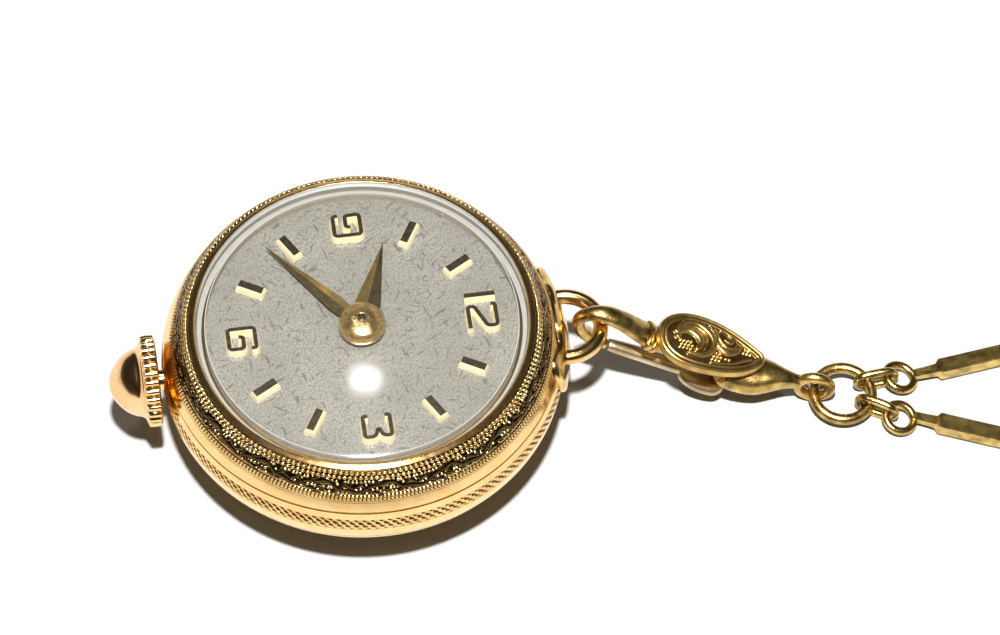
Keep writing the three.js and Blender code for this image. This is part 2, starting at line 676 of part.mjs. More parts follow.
// A solid of oval sections along the clasp: each station is [along, across, half width, half height],
// and all of them stand aside by the given amount.
function swept(stations, aside = 0, sides = 8) {
  const rings = stations.map(([u, w, halfWidth, halfHeight], i) => {
    const [before, after] = [stations[Math.max(i - 1, 0)], stations[Math.min(i + 1, stations.length - 1)]];
    const along = new THREE.Vector2(after[0] - before[0], after[1] - before[1]).normalize();
    return Array.from({ length: sides }, (_, k) => {
      const angle = (2 * Math.PI * (k + 0.5)) / sides;
      const rise = halfHeight * Math.sin(angle);
      return [u - along.y * rise, aside + halfWidth * Math.cos(angle), w + along.x * rise];
    });
  });
  const ends = [stations[0], stations[stations.length - 1]].map(([u, w]) => [u, aside, w]);
  const positions = [];
  for (let k = 0; k < sides; k += 1) {
    const next = (k + 1) % sides;
    for (let i = 0; i < rings.length - 1; i += 1) {
      const [a, b, c, d] = [rings[i][k], rings[i + 1][k], rings[i + 1][next], rings[i][next]];
      positions.push(...a, ...b, ...c, ...a, ...c, ...d);
    }
    const last = rings[rings.length - 1];
    positions.push(...ends[0], ...rings[0][k], ...rings[0][next]);
    positions.push(...ends[1], ...last[next], ...last[k]);
  }
  const geometry = new THREE.BufferGeometry();
  geometry.setAttribute("position", new THREE.Float32BufferAttribute(positions, 3));
  return solid(geometry);
}

// A side view given as [along, across] points, as thick as the two limits across the clasp.
function sideways(points, from, to) {
  return raised(outline(points), -to, -from).rotate([90, 0, 0]);
}

function crossPin(radius, from, to, [along, across], segments = 12) {
  return moved(disc(radius, from, to, segments).rotate([-90, 0, 0]), along, 0, across);
}

function claspBody() {
  const hook = swept([
    [3.9, 0.0, 0.95, 0.5], [2.6, 0.45, 0.8, 0.46], [1.4, 0.86, 0.6, 0.44], [0.4, 1.07, HOOK_WIRE, 0.42],
    [-0.45, 0.98, HOOK_WIRE, 0.42], [-1.1, 0.55, HOOK_WIRE, 0.42], [-1.38, -0.1, HOOK_WIRE, 0.42],
    [-1.2, -0.85, HOOK_WIRE, 0.42], [-0.7, -1.45, HOOK_WIRE, 0.42], [0, -1.85, 0.42, 0.4],
    [0.7, -2.0, 0.4, 0.38], [1.3, -2.03, 0.38, 0.36],
  ]);
  const bar = sideways([[3.2, -0.35], [3.4, 0.5], [10.5, 0.5], [10.5, -0.45], [3.6, -0.45]], -0.7, 0.7);
  const tail = swept([
    [9.7, -0.5, 1.35, 0.9], [10.4, -0.5, 1.5, 0.95], [11.3, -0.35, 1.4, 0.95], [12.2, -0.05, 1.05, 0.85],
    [13.0, 0.18, 0.7, 0.65], [13.8, 0.3, 0.48, 0.48], [14.4, 0.34, 0.42, 0.42],
  ], 0, 10);
  const slot = block([2.2, 0.84, 1.6], [10.0, 0, -1.25]);
  const eye = moved(link(EYE_R, 0, EYE_WIRE, 18, 8).rotate([90, 0, 0]), EYE_AT[0], 0, EYE_AT[1]);
  const whole = join(hook, bar, tail.subtract(slot).subtract(crossPin(0.72, -2, 2, EYE_AT)), eye);
  return whole.subtract(crossPin(0.26, -2, 2, GATE_PIVOT));
}

function claspGate() {
  const arm = swept([[1.5, -2.03, 0.36, 0.34], [4.0, -2.03, 0.36, 0.34], [6.9, -2.08, 0.4, 0.34]]);
  const tab = swept([
    [6.3, -2.1, 0.4, 0.3], [6.9, -2.2, 0.85, 0.42], [7.8, -2.3, 1.15, 0.48], [8.8, -2.28, 1.15, 0.46],
    [9.4, -2.1, 0.8, 0.36], [9.6, -2.0, 0.4, 0.28],
  ], -0.35);
  const ear = sideways([
    [8.6, -2.2], [8.8, -1.85], [9.7, -0.75], [10.1, -0.62], [10.5, -0.85], [10.55, -1.3], [10.1, -1.6],
    [9.4, -2.2],
  ], -0.36, 0.36);
  return join(arm, tab, ear).subtract(crossPin(0.26, -2, 2, GATE_PIVOT));
}

function claspPlate() {
  const leaf = new THREE.Shape();
  leaf.moveTo(3.7, 0.5);
  leaf.bezierCurveTo(2.2, 1.35, 0.9, 2.05, -0.9, 2.1);
  leaf.bezierCurveTo(-2.8, 2.1, -3.7, 1.2, -3.7, 0);
  leaf.bezierCurveTo(-3.7, -1.2, -2.8, -2.1, -0.9, -2.1);
  leaf.bezierCurveTo(1.2, -2.1, 2.8, -1.6, 3.75, -0.6);
  leaf.bezierCurveTo(4.05, -0.2, 4.0, 0.3, 3.7, 0.5);
  const geometry = new THREE.ExtrudeGeometry(leaf, {
    depth: 0.75,
    bevelThickness: 0.15,
    bevelSize: 0.15,
    bevelOffset: -0.15,
    bevelSegments: 1,
    curveSegments: 6,
  });
  return moved(solid(geometry).rotate([0, 0, 3]), 7.3, 0.1, 0.72);
}

add("clasp_body", claspBody(), "clasp", clasp);
add("clasp_plate", claspPlate(), "clasp", clasp);
add("clasp_gate", claspGate(), "clasp", clasp);
add("clasp_pin", crossPin(0.22, -1.1, 1.1, GATE_PIVOT), "clasp", clasp);
const leafSpring = [[6.4, -0.66], [8.9, -0.56], [8.9, -0.68], [6.4, -0.78]];
add("clasp_spring", sideways(leafSpring, -0.3, 0.3), "steel", clasp);

// ---------------------------------------------------------------- chain

// Turns a link about its own axes, in degrees, and puts it in place.
function placed(piece, [x, y, z], heading, lean = 0, pitch = 0) {
  return moved(piece.rotate([lean, 0, 0]).rotate([0, pitch, 0]).rotate([0, 0, heading]), x, y, z);
}

const oval = () => link(0.675, 0.6, LINK_WIRE, 16, 6);
const round = () => link(0.975, 0, LINK_WIRE, 16, 6);

const JUMP_HEADING = -16;
add("jump_ring", placed(link(JUMP_R, 0, JUMP_WIRE, 24, 6), JUMP_AT, JUMP_HEADING, 3, 4.5), "clasp");
add("end_link_a", placed(oval(), [33.51, -2.97, 0.97], 5, 90), "chain");
add("round_link_a", placed(round(), [35.15, -2.86, 0.66], 2, 0, 19), "chain");
add("end_link_b", placed(oval(), [33.2, -5.13, 0.94], -31, 90), "chain");
add("round_link_b", placed(round(), [34.6, -5.97, 0.66], -31, 0, 19), "chain");

const STRAND_A = [
  [36.85, -2.77, 0.75], [38.4, -2.56, 0.7], [40.2, -2.32, 0.7], [42.0, -2.08, 0.7], [43.6, -1.87, 0.7],
];
const STRAND_B = [
  [36.05, -6.3, 0.75], [37.6, -6.97, 0.7], [39.2, -7.66, 0.7], [41.0, -8.43, 0.7], [42.6, -9.12, 0.7],
  [44.0, -9.73, 0.7],
];
add("chain_strand_a", wire(STRAND_A, STRAND_R, 8, 8), "chain");
add("chain_strand_b", wire(STRAND_B, STRAND_R, 8, 8), "chain");

function coilRing() {
  const ring = tubeRing(COIL_INNER, COIL_OUTER, 0.02, COIL_TOP, 28);
  return moved(ring, ...COIL_AT, 0);
}

function coilTie() {
  const wide = 3;
  const gap = 0.32;
  const middle = (COIL_INNER + COIL_OUTER) / 2;
  const reach = (COIL_OUTER - COIL_INNER) / 2 + gap;
  const thick = 0.4;
  const top = COIL_TOP + gap + thick;
  const outside = block([2 * (reach + thick), wide, top], [middle, 0, top / 2]);
  const inside = block([2 * reach, wide + 1, COIL_TOP + gap], [middle, 0, (COIL_TOP + gap) / 2 - 0.2]);
  return moved(outside.subtract(inside), ...COIL_AT, 0);
}

add("chain_coil", coilRing(), "chain");
add("coil_tie", coilTie(), "chain");

export default watch;
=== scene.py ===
from math import cos, exp, pi, radians, sin, sqrt

import bpy
import numpy as np
from mathutils import Matrix, Vector


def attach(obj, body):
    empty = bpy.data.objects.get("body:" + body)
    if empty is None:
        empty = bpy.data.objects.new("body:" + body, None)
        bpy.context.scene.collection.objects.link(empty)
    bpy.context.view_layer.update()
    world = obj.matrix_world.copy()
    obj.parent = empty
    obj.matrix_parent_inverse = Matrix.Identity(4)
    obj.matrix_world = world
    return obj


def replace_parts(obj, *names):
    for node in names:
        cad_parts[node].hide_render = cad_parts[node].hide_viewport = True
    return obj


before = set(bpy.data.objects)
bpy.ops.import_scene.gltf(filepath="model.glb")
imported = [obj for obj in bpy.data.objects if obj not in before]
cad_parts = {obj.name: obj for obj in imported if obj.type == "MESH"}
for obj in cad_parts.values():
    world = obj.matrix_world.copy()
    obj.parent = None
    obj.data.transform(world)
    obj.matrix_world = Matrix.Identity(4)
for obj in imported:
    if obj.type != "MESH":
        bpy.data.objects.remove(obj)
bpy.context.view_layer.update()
MM = 0.001  # the numbers below are millimetres, and meshes are in metres

# ---- camera

AZIMUTH, ELEVATION = radians(-7.9), radians(56.8)
DISTANCE, LENS = 450.0, 246.5
AIM_RIGHT, AIM_UP = 8.9, 5.96  # the picture's middle, from the watch's origin
BACK = Vector((
    sin(AZIMUTH) * cos(ELEVATION),
    -cos(AZIMUTH) * cos(ELEVATION),
    sin(ELEVATION),
))
RIGHT = Vector((cos(AZIMUTH), sin(AZIMUTH), 0.0))
UP = BACK.cross(RIGHT)


def make_camera():
    data = bpy.data.cameras.new("camera")
    data.lens = LENS
    data.sensor_width = 36.0
    data.clip_start, data.clip_end = 0.01, 10.0
    camera = bpy.data.objects.new("camera", data)
    place = BACK * DISTANCE + RIGHT * AIM_RIGHT + UP * AIM_UP
    turn = Matrix((RIGHT, UP, BACK)).transposed().to_4x4()
    camera.matrix_world = Matrix.Translation(place * MM) @ turn
    bpy.context.scene.collection.objects.link(camera)
    bpy.context.scene.camera = camera


make_camera()

# ---- mesh helpers


def build(name, points, faces, material, body=None, smooth=True, colours=None, index=None):
    """A piece from points in millimetres.

    colours is one number a point, kept as the attribute "cavity": painted shade, where lower numbers darken
    the colour."""
    mesh = bpy.data.meshes.new(name)
    mesh.from_pydata((np.asarray(points, float) * MM).tolist(), [], [list(map(int, f)) for f in faces])
    mesh.validate()
    mesh.update()
    materials = material if isinstance(material, (list, tuple)) else [material]
    for each in materials:
        mesh.materials.append(each)
    if index is not None:
        mesh.polygons.foreach_set("material_index", index)
    mesh.polygons.foreach_set("use_smooth", [smooth] * len(mesh.polygons))
    if colours is not None:
        layer = mesh.color_attributes.new("painted_shade", "FLOAT_COLOR", "POINT")
        values = np.ones((len(mesh.vertices), 4))
        values[:, :3] = np.asarray(colours)[:, None]
        layer.data.foreach_set("color", values.ravel())
    piece = bpy.data.objects.new(name, mesh)
    bpy.context.scene.collection.objects.link(piece)
    if body:
        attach(piece, body)
    return piece


def sharpen(piece, degrees=35):
    """Flat shading across edges sharper than the angle."""
    mesh = piece.data
    limit = radians(degrees)
    edge_faces = {}
    for poly in mesh.polygons:
        for key in poly.edge_keys:
            edge_faces.setdefault(key, []).append(poly.index)
    normals = [p.normal.copy() for p in mesh.polygons]
    for edge in mesh.edges:
        near = edge_faces.get(tuple(sorted(edge.vertices)), [])
        if len(near) != 2 or normals[near[0]].angle(normals[near[1]], 0.0) > limit:
            edge.use_edge_sharp = True
    return piece


def grid_faces(rows, columns, closed=True, offset=0):
    faces = []
    span = columns if closed else columns - 1
    for i in range(rows - 1):
        for j in range(span):
            k = (j + 1) % columns
            faces.append((offset + i * columns + j, offset + i * columns + k,
                          offset + (i + 1) * columns + k, offset + (i + 1) * columns + j))
    return faces


def lathe(profile, segments=256, wave=None):
    """Points and faces of a profile of [radius, height] turned about +Z.

    wave(angles, row) adds to the radius."""
    angles = np.arange(segments) * 2 * pi / segments
    points = []
    for row, (r, z) in enumerate(profile):
        radius = r + (wave(angles, row) if wave else 0 * angles)
        points.append(np.stack([radius * np.cos(angles), radius * np.sin(angles), 0 * angles + z], 1))
    return np.concatenate(points), [f[::-1] for f in grid_faces(len(profile), segments)]


def smooth_profile(points, steps=6):
    """A Catmull-Rom curve through points of any dimension."""
    p = np.asarray(points, float)
    p = np.vstack([2 * p[0] - p[1], p, 2 * p[-1] - p[-2]])
    out = []
    for i in range(1, len(p) - 2):
        for t in np.arange(steps) / steps:
            a, b, c, d = p[i - 1], p[i], p[i + 1], p[i + 2]
            out.append(0.5 * ((2 * b) + (c - a) * t + (2 * a - 5 * b + 4 * c - d) * t * t
                              + (3 * b - 3 * c + d - a) * t ** 3))
    out.append(p[-2])
    return np.array(out)


def tube(path, radius, sides=24, closed=False, up=(0, 0, 1)):
    """Points and faces of a wire along path. radius is one number or one a point."""
    path = np.asarray(path, float)
    radius = np.broadcast_to(np.asarray(radius, float), len(path))
    if closed:
        tangents = np.roll(path, -1, 0) - np.roll(path, 1, 0)
    else:
        tangents = np.gradient(path, axis=0)
    tangents /= np.linalg.norm(tangents, axis=1)[:, None]
    side = np.cross(np.asarray(up, float)[None], tangents)
    side /= np.linalg.norm(side, axis=1)[:, None]
    top = np.cross(tangents, side)
    angles = (np.arange(sides) + 0.5) * 2 * pi / sides
    ring = (path[:, None] + radius[:, None, None]
            * (np.cos(angles)[None, :, None] * side[:, None] + np.sin(angles)[None, :, None] * top[:,
            None]))
    faces = grid_faces(len(path), sides)
    if closed:
        last = (len(path) - 1) * sides
        faces += [(last + j, last + (j + 1) % sides, (j + 1) % sides, j) for j in range(sides)]
    else:
        faces += [tuple(range(sides))[::-1], tuple((len(path) - 1) * sides + j for j in range(sides))]
    return ring.reshape(-1, 3), faces


def merge(*shapes):
    points, faces, start = [], [], 0
    for p, f in shapes:
        points.append(np.asarray(p, float))
        faces += [tuple(i + start for i in face) for face in f]
        start += len(p)
    return np.concatenate(points), faces


# ---- materials


class Nodes:
    """A material being wired. node() adds a node; each input is a constant or another node's socket."""

    def __init__(self, name):
        self.material = bpy.data.materials.new(name)
        self.material.use_nodes = True
        self.tree = self.material.node_tree
        self.tree.nodes.clear()

    def node(self, kind, settings=None, **inputs):
        made = self.tree.nodes.new("ShaderNode" + kind)
        for key, value in (settings or {}).items():
            setattr(made, key, value)
        for key, value in inputs.items():
            numbered = key[0] == "i" and key[1:].isdigit()
            socket = made.inputs[int(key[1:]) if numbered else key.replace("_", " ")]
            if isinstance(value, bpy.types.NodeSocket):
                self.tree.links.new(value, socket)
            else:
                socket.default_value = value
        return made

    def noise(self, scale, detail=3.0, stretch=(1, 1, 1), turn=(0, 0, 0), rough=0.5):
        place = self.node("TexCoord").outputs["Object"]
        drawn = tuple(1 / v for v in stretch)
        mapped = self.node("Mapping", {"vector_type": "TEXTURE"}, i0=place, Rotation=turn,
            Scale=drawn).outputs[0]
        return self.node("TexNoise", Vector=mapped, Scale=scale, Detail=detail, Roughness=rough).outputs[0]

    def ramp(self, value, stops):
        made = self.node("ValToRGB", i0=value)
        ramp = made.color_ramp
        for i, (at, grey) in enumerate(stops):
            stop = ramp.elements[i] if i < 2 else ramp.elements.new(at)
            stop.position = at
            stop.color = (*grey, 1) if isinstance(grey, tuple) else (grey, grey, grey, 1)
        return made.outputs[0]

    def mix(self, factor, a, b, mode="MIX"):
        made = self.node("Mix", {"data_type": "RGBA", "blend_type": mode})
        for socket, value in ((0, factor), (6, a), (7, b)):
            if isinstance(value, bpy.types.NodeSocket):
                self.tree.links.new(value, made.inputs[socket])
            elif socket == 0:
                made.inputs[0].default_value = value
            else:
                made.inputs[socket].default_value = (*value, 1)
        return made.outputs[2]

    def bump(self, height, strength, distance, normal=None):
        made = self.node("Bump", Height=height, Strength=strength, Distance=distance)
        if normal is not None:
            self.tree.links.new(normal, made.inputs["Normal"])
        return made.outputs[0]

    def finish(self, shader):
        self.node("OutputMaterial", Surface=shader)
        return self.material


def metal(name, light, dark, rough=(0.1, 0.2), grain=0.0, patches=900, scratch=0.02, painted_shade=False):
    """Polished or worn metal: patches of tarnish, uneven roughness and fine scratches; with cavity, painted
    shade is read from the mesh's attribute.
    """
    n = Nodes(name)
    patchy = n.ramp(n.noise(patches, 5), [(0.35, 0.0), (0.7, 1.0)])
    colour = n.mix(patchy, light, dark)
    # painted shade: the mesh's attribute darkens the colour in hollows, gaps and under the case
    if painted_shade:
        painted_dark = n.node("Attribute", {"attribute_name": "painted_shade"}).outputs["Color"]
        colour = n.mix(painted_dark, tuple(0.03 * c for c in dark), colour)
    roughness = n.node("MapRange", i0=n.noise(2300, 4), i3=rough[0], i4=rough[1]).outputs[0]
    hair = n.ramp(n.noise(2600, 3, (1, 14, 1), (0.3, 0.2, 0.7)), [(0.45, 0.0), (0.62, 1.0)])
    normal = n.bump(hair, scratch, 0.00002)
    if grain:
        normal = n.bump(n.noise(9000, 4), grain, 0.00004, normal)
    made = n.node("BsdfPrincipled", Base_Color=colour, Roughness=roughness, Normal=normal, Metallic=1.0)
    return n.finish(made.outputs[0])


GOLD = metal("polished_gold", (1.0, 0.70, 0.32), (0.93, 0.60, 0.24), (0.07, 0.16))
# the case back carries painted shade: darker towards the bottom
BACK_GOLD = metal("back_gold", (1.0, 0.70, 0.32), (0.93, 0.60, 0.24), (0.07, 0.16), painted_shade=True)
BOW_GOLD = metal("bow_gold", (0.92, 0.64, 0.26), (0.55, 0.35, 0.12), (0.1, 0.24), 0.12, 1100, 0.05)
ROSE = metal("crown_gold", (1.0, 0.66, 0.34), (0.86, 0.48, 0.22), (0.05, 0.12))
# painted shade in the gaps and grooves of the engraving
ENGRAVED = metal("engraved_gold", (1.0, 0.68, 0.28), (0.80, 0.48, 0.16), (0.12, 0.24), painted_shade=True)
AGED = metal("aged_gold", (0.74, 0.50, 0.16), (0.24, 0.15, 0.045), (0.17, 0.40), 0.28, 1300, 0.1)
# painted shade in the field between the scrolls
RELIEF = metal("scrolled_gold", (0.70, 0.47, 0.15), (0.38, 0.24, 0.075), (0.26, 0.42), 0.15, 900, 0.05,
    True)
CHAIN = metal("chain_gold", (0.80, 0.57, 0.19), (0.28, 0.18, 0.05), (0.13, 0.32), 0.3, 1600, 0.1)
WORN = metal("worn_silver_gold", (0.70, 0.55, 0.33), (0.38, 0.27, 0.14), (0.25, 0.45), 0.25, 600, 0.08)
HANDS = metal("hand_gold", (0.66, 0.48, 0.17), (0.46, 0.32, 0.10), (0.12, 0.26), 0.05)
HUB = metal("hub_gold", (0.90, 0.62, 0.26), (0.46, 0.30, 0.10), (0.14, 0.27), 0.2, 3200, 0.15)
# painted dark reflection on the marks' flat tops, and painted shade on the pivot in the hub's hole
PAINTED_DARK_GOLD = metal("gold_painted_dark", (0.16, 0.125, 0.07), (0.07, 0.055, 0.03), (0.2, 0.35), 0.1, 3000)
NICKEL = metal("nickel", (0.76, 0.74, 0.70), (0.62, 0.60, 0.57), (0.22, 0.34), 0.1)
BRASS = metal("wheel_brass", (0.86, 0.66, 0.30), (0.70, 0.50, 0.20), (0.2, 0.32), 0.05)
STEEL = metal("steel", (0.62, 0.63, 0.65), (0.45, 0.46, 0.48), (0.12, 0.24))
BLUED = metal("blued_steel", (0.07, 0.12, 0.36), (0.04, 0.06, 0.22), (0.12, 0.2))


def mark_side_painted_glare():
    # painted glare: a pale, near-white gold on the marks' sloping sides stands in for light thrown back off
    # the lit dial
    n = Nodes("mark_side_painted_glare")
    colour = n.mix(n.noise(2500), (1.0, 0.90, 0.62), (0.95, 0.80, 0.48))
    rough = n.node("MapRange", i0=n.noise(4000, 3), i3=0.35, i4=0.5).outputs[0]
    made = n.node("BsdfPrincipled", Base_Color=colour, Roughness=rough, Metallic=0.35)
    return n.finish(made.outputs[0])


def dial_paint():
    """Silvered metal: a fine grain, cloudy patches and short dark scratches."""
    n = Nodes("dial_silver")
    cloud = n.ramp(n.noise(190, 4), [(0.3, 0.0), (0.7, 1.0)])
    colour = n.mix(cloud, (0.205, 0.198, 0.172), (0.275, 0.268, 0.236))
    grain = n.ramp(n.noise(8200, 3, (1.0, 0.7, 1.0), (0, 0, 0.4)), [(0.34, 0.0), (0.56, 1.0)])
    colour = n.mix(grain, (0.135, 0.13, 0.112), colour)
    for turn in (0.3, 0.95, 1.5, 2.1, 2.75):
        line = n.ramp(n.noise(5200 + 400 * turn, 1, (1, 0.14, 1), (0, 0, turn), 0.4),
            [(0.69, 0.0), (0.735, 0.7)])
        colour = n.mix(line, colour, (0.07, 0.067, 0.06))
    rough = n.node("MapRange", i0=grain, i3=0.5, i4=0.36).outputs[0]
    made = n.node("BsdfPrincipled", Base_Color=colour, Roughness=rough,
        Normal=n.bump(grain, 0.25, 0.00003), Metallic=0.2)
    return n.finish(made.outputs[0])


def clear(name, tint, haze, film=0.04):
    """Clear plastic seen straight through, with a hazy reflection broken by hair scratches."""
    n = Nodes(name)
    hair = n.ramp(n.noise(700, 2, (1, 16, 1), (0, 0, 0.5)), [(0.66, 0.0), (0.70, 1.0)])
    hair_b = n.ramp(n.noise(600, 2, (16, 1, 1), (0, 0, 1.1)), [(0.66, 0.0), (0.70, 1.0)])
    both = n.mix(1.0, hair, hair_b, "ADD")
    rough = n.node("MapRange", i0=both, i3=haze, i4=haze + 0.15).outputs[0]
    normal = n.bump(both, 0.04, 0.000005)
    gloss = n.node("BsdfPrincipled", Roughness=rough, Normal=normal, Base_Color=(1, 1, 1, 1), Metallic=1.0)
    through = n.node("BsdfTransparent", i0=(*tint, 1))
    facing = n.node("Fresnel", IOR=1.45)
    mixed = n.node("MixShader", i0=facing.outputs[0], i1=through.outputs[0], i2=gloss.outputs[0])
    milk = n.node("BsdfDiffuse", i0=(0.9, 0.9, 0.88, 1))
    dusty = n.node("MapRange", i0=both, i3=film, i4=film + 0.02).outputs[0]
    last = n.node("MixShader", i0=dusty, i1=mixed.outputs[0], i2=milk.outputs[0])
    return n.finish(last.outputs[0])


def edge_painted_glow():
    """The crystal's edge, where it is glued: a painted glow of light caught in the crystal, as a milk that is
    thin at the dial and thicker towards the dome.
    """
    n = Nodes("crystal_edge")
    place = n.node("TexCoord").outputs["Object"]
    height = n.node("SeparateXYZ", i0=place).outputs[2]
    up = n.node("MapRange", i0=height, i1=0.00966, i2=0.0102, i3=0.3, i4=0.7).outputs[0]
    milk = n.node("BsdfDiffuse", i0=(0.46, 0.45, 0.42, 1))
    through = n.node("BsdfTransparent", i0=(0.98, 0.98, 0.96, 1))
    return n.finish(n.node("MixShader", i0=up, i1=through.outputs[0], i2=milk.outputs[0]).outputs[0])


def cement():
    """Pale cement that holds the crystal in its seat."""
    n = Nodes("crystal_cement")
    made = n.node("BsdfPrincipled", Base_Color=n.mix(n.noise(1800, 4), (0.31, 0.302, 0.28),
        (0.24, 0.235, 0.21)))
    made.inputs["Roughness"].default_value = 0.5
    return n.finish(made.outputs[0])


def fibre():
    n = Nodes("tie_thread")
    weave = n.noise(6000, 2, (1, 6, 1))
    colour = n.mix(weave, (0.25, 0.17, 0.11), (0.42, 0.32, 0.22))
    made = n.node("BsdfPrincipled", Base_Color=colour, Normal=n.bump(weave, 0.5, 0.00005), Roughness=0.85)
    return n.finish(made.outputs[0])


def ruby():
    n = Nodes("ruby")
    made = n.node("BsdfPrincipled", Base_Color=n.mix(n.noise(3000), (0.5, 0.02, 0.08),
        (0.35, 0.01, 0.05)), Roughness=0.08)
    return n.finish(made.outputs[0])


MARK_SIDE_PAINTED_GLARE = mark_side_painted_glare()
DIAL = dial_paint()
CRYSTAL = clear("crystal", (0.985, 0.985, 0.975), 0.115, 0.01)
CRYSTAL_EDGE = edge_painted_glow()
RIM = cement()
THREAD = fibre()
RUBY = ruby()

# ---- chain: one cord

BAR = 0.55  # half the side of a bar
COIL = (60.0, -5.0)
COIL_IN, COIL_OUT = 8.0, 14.8  # radii of the innermost and outermost turns
LAYER_LOW, LAYER_HIGH = 1.15, 3.15


def chain_route():
    """The whole neck chain, from the ring on the clasp through the coil and back."""
    start = [[33.1, -3.02, 1.0], [34.3, -2.96, 0.85], [35.7, -2.88, 0.75]]
    near = [[36.85, -2.77, 0.75], [38.4, -2.56, 0.7], [40.2, -2.32, 0.7], [42.0, -2.08, 0.7],
        [43.6, -1.87, 0.7]]
    far = [[36.05, -6.3, 0.75], [37.6, -6.97, 0.7], [39.2, -7.66, 0.7], [41.0, -8.43, 0.7],
           [42.6, -9.12, 0.7], [44.0, -9.73, 0.7]]
    end = [[32.8, -4.75, 1.0], [33.8, -5.2, 0.8], [34.85, -5.75, 0.75]]
    turns = []
    enter, leave = radians(150), radians(215)
    total_a, total_b = 3.9, 3.92
    for i in range(int(40 * total_a) + 1):
        t = i / (40 * total_a)
        angle = enter - 2 * pi * total_a * t
        radius = COIL_OUT - (COIL_OUT - COIL_IN) * t
        turns.append([COIL[0] + radius * cos(angle), COIL[1] + radius * sin(angle), LAYER_LOW])
    inner = enter - 2 * pi * total_a
    back = (leave - inner) % (2 * pi) - 2 * pi * 4
    for i in range(1, int(40 * total_b) + 1):
        t = i / (40 * total_b)
        angle = inner + back * t
        radius = COIL_IN + (COIL_OUT - COIL_IN) * t
        turns.append([COIL[0] + radius * cos(angle), COIL[1] + radius * sin(angle),
            LAYER_HIGH if t > 0.02 else 2.2])
    lead_in = [[45.3, -1.1, 0.8], [46.2, 0.7, 1.0]]
    lead_out = [[47.0, -13.4, 2.6], [45.7, -12.3, 1.2]]
    return start + near + lead_in + turns + lead_out + far[::-1] + end[::-1]


def even(points, step):
    """The route resampled at an even step, with each sample's distance from the start."""
    dense = smooth_profile(points, 8)
    length = np.concatenate([[0], np.cumsum(np.linalg.norm(np.diff(dense, axis=0), axis=1))])
    at = np.linspace(0, length[-1], max(2, round(length[-1] / step)))
    return np.stack([np.interp(at, length, dense[:, k]) for k in range(3)], 1), at


def frames_along(path):
    tangents = np.gradient(path, axis=0)
    tangents /= np.linalg.norm(tangents, axis=1)[:, None]
    side = np.cross([0, 0, 1.0], tangents)
    side /= np.linalg.norm(side, axis=1)[:, None]
    return tangents, side, np.cross(tangents, side)


def bar_link(path, side, top, wide, high):
    """A square bar with narrow bevels and flat tongues. wide and high scale each section."""
    count = len(path)
    corner = np.array([(1, -.8), (1, .78), (.88, .95), (-.88, .95), (-1, .78), (-1, -.8), (-.85, -.95),
        (.85, -.95)])
    ring = (path[:, None] + BAR * (wide[:, None] * corner[None, :, 0])[..., None] * side[:, None]
            + BAR * (high[:, None] * corner[None, :, 1])[..., None] * top[:, None])
    faces = grid_faces(count, 8)
    faces += [tuple(range(8))[::-1], tuple((count - 1) * 8 + j for j in range(8))]
    return ring.reshape(-1, 3), faces


def small_ring(centre, tangent, side, top, lean, reach=0.95, half=0.62, wire=0.22):
    """An oval wire ring drawn out along the chain, turned about it by lean."""
    t = np.arange(20) * 2 * pi / 20
    across = cos(lean) * side + sin(lean) * top
    path = centre + reach * np.cos(t)[:, None] * tangent + half * np.sin(t)[:, None] * across
    normal = np.cross(tangent, across)
    return tube(path, wire, 8, True, up=normal)


def make_chain():
    route, at = even(chain_route(), 0.45)
    tangents, side, top = frames_along(route)
    shapes = []
    total = at[-1]
    first = 3.85  # the first bar begins after the rings at the end
    pitch_wanted, gap = 10.6, 2.2
    usable = total - 2 * first
    count = round((usable + gap) / pitch_wanted)
    pitch = (usable + gap) / count
    for i in range(count):
        a, b = first + i * pitch, first + i * pitch + pitch - gap
        long_a, long_b = (0.85 if i == 0 else 0), (0.85 if i == count - 1 else 0)
        stations = np.concatenate([[a - long_a, a + 0.2, a + 0.7, a + 0.92],
            np.linspace(a + 1.4, b - 1.4, 9), [b - 0.92, b - 0.7, b - 0.2, b + long_b]])
        wide = np.array([0.52, 0.56, 0.62] + [1.0] * 11 + [0.62, 0.56, 0.52])
        high = np.array([0.48, 0.55, 0.6] + [1.0] * 11 + [0.6, 0.55, 0.48])
        pick = lambda values: np.stack([np.interp(stations, at, values[:, k]) for k in range(3)], 1)
        shapes.append(bar_link(pick(route), pick(side), pick(top), wide, high))
        if i < count - 1:
            middle = b + gap / 2
            one = lambda values: np.array([np.interp(middle, at, values[:, k]) for k in range(3)])
            shapes.append(small_ring(one(route), one(tangents), one(side), one(top),
                0.35 if i % 2 else -0.4))
    points, faces = merge(*shapes)
    chain = build("neck_chain", points, faces, CHAIN, "chain")
    sharpen(chain, 30)
    return chain, route, total


def torus(name, centre, radius, stretch, wire, heading, lean=0.0, pitch=0.0, material=None):
    """A closed wire link placed as in the CAD: lean about X, pitch about Y, heading about Z."""
    t = np.arange(96) * 2 * pi / 96
    path = np.stack([radius * np.cos(t) + stretch * np.tanh(4 * np.cos(t)), radius * np.sin(t), 0 * t], 1)
    points, faces = tube(path, wire, 20, True)
    turn = (Matrix.Rotation(radians(heading), 3, "Z") @ Matrix.Rotation(radians(pitch), 3, "Y")
            @ Matrix.Rotation(radians(lean), 3, "X"))
    points = points @ np.array(turn).T + np.asarray(centre)
    piece = build(name, points, faces, material, "chain")
    return piece


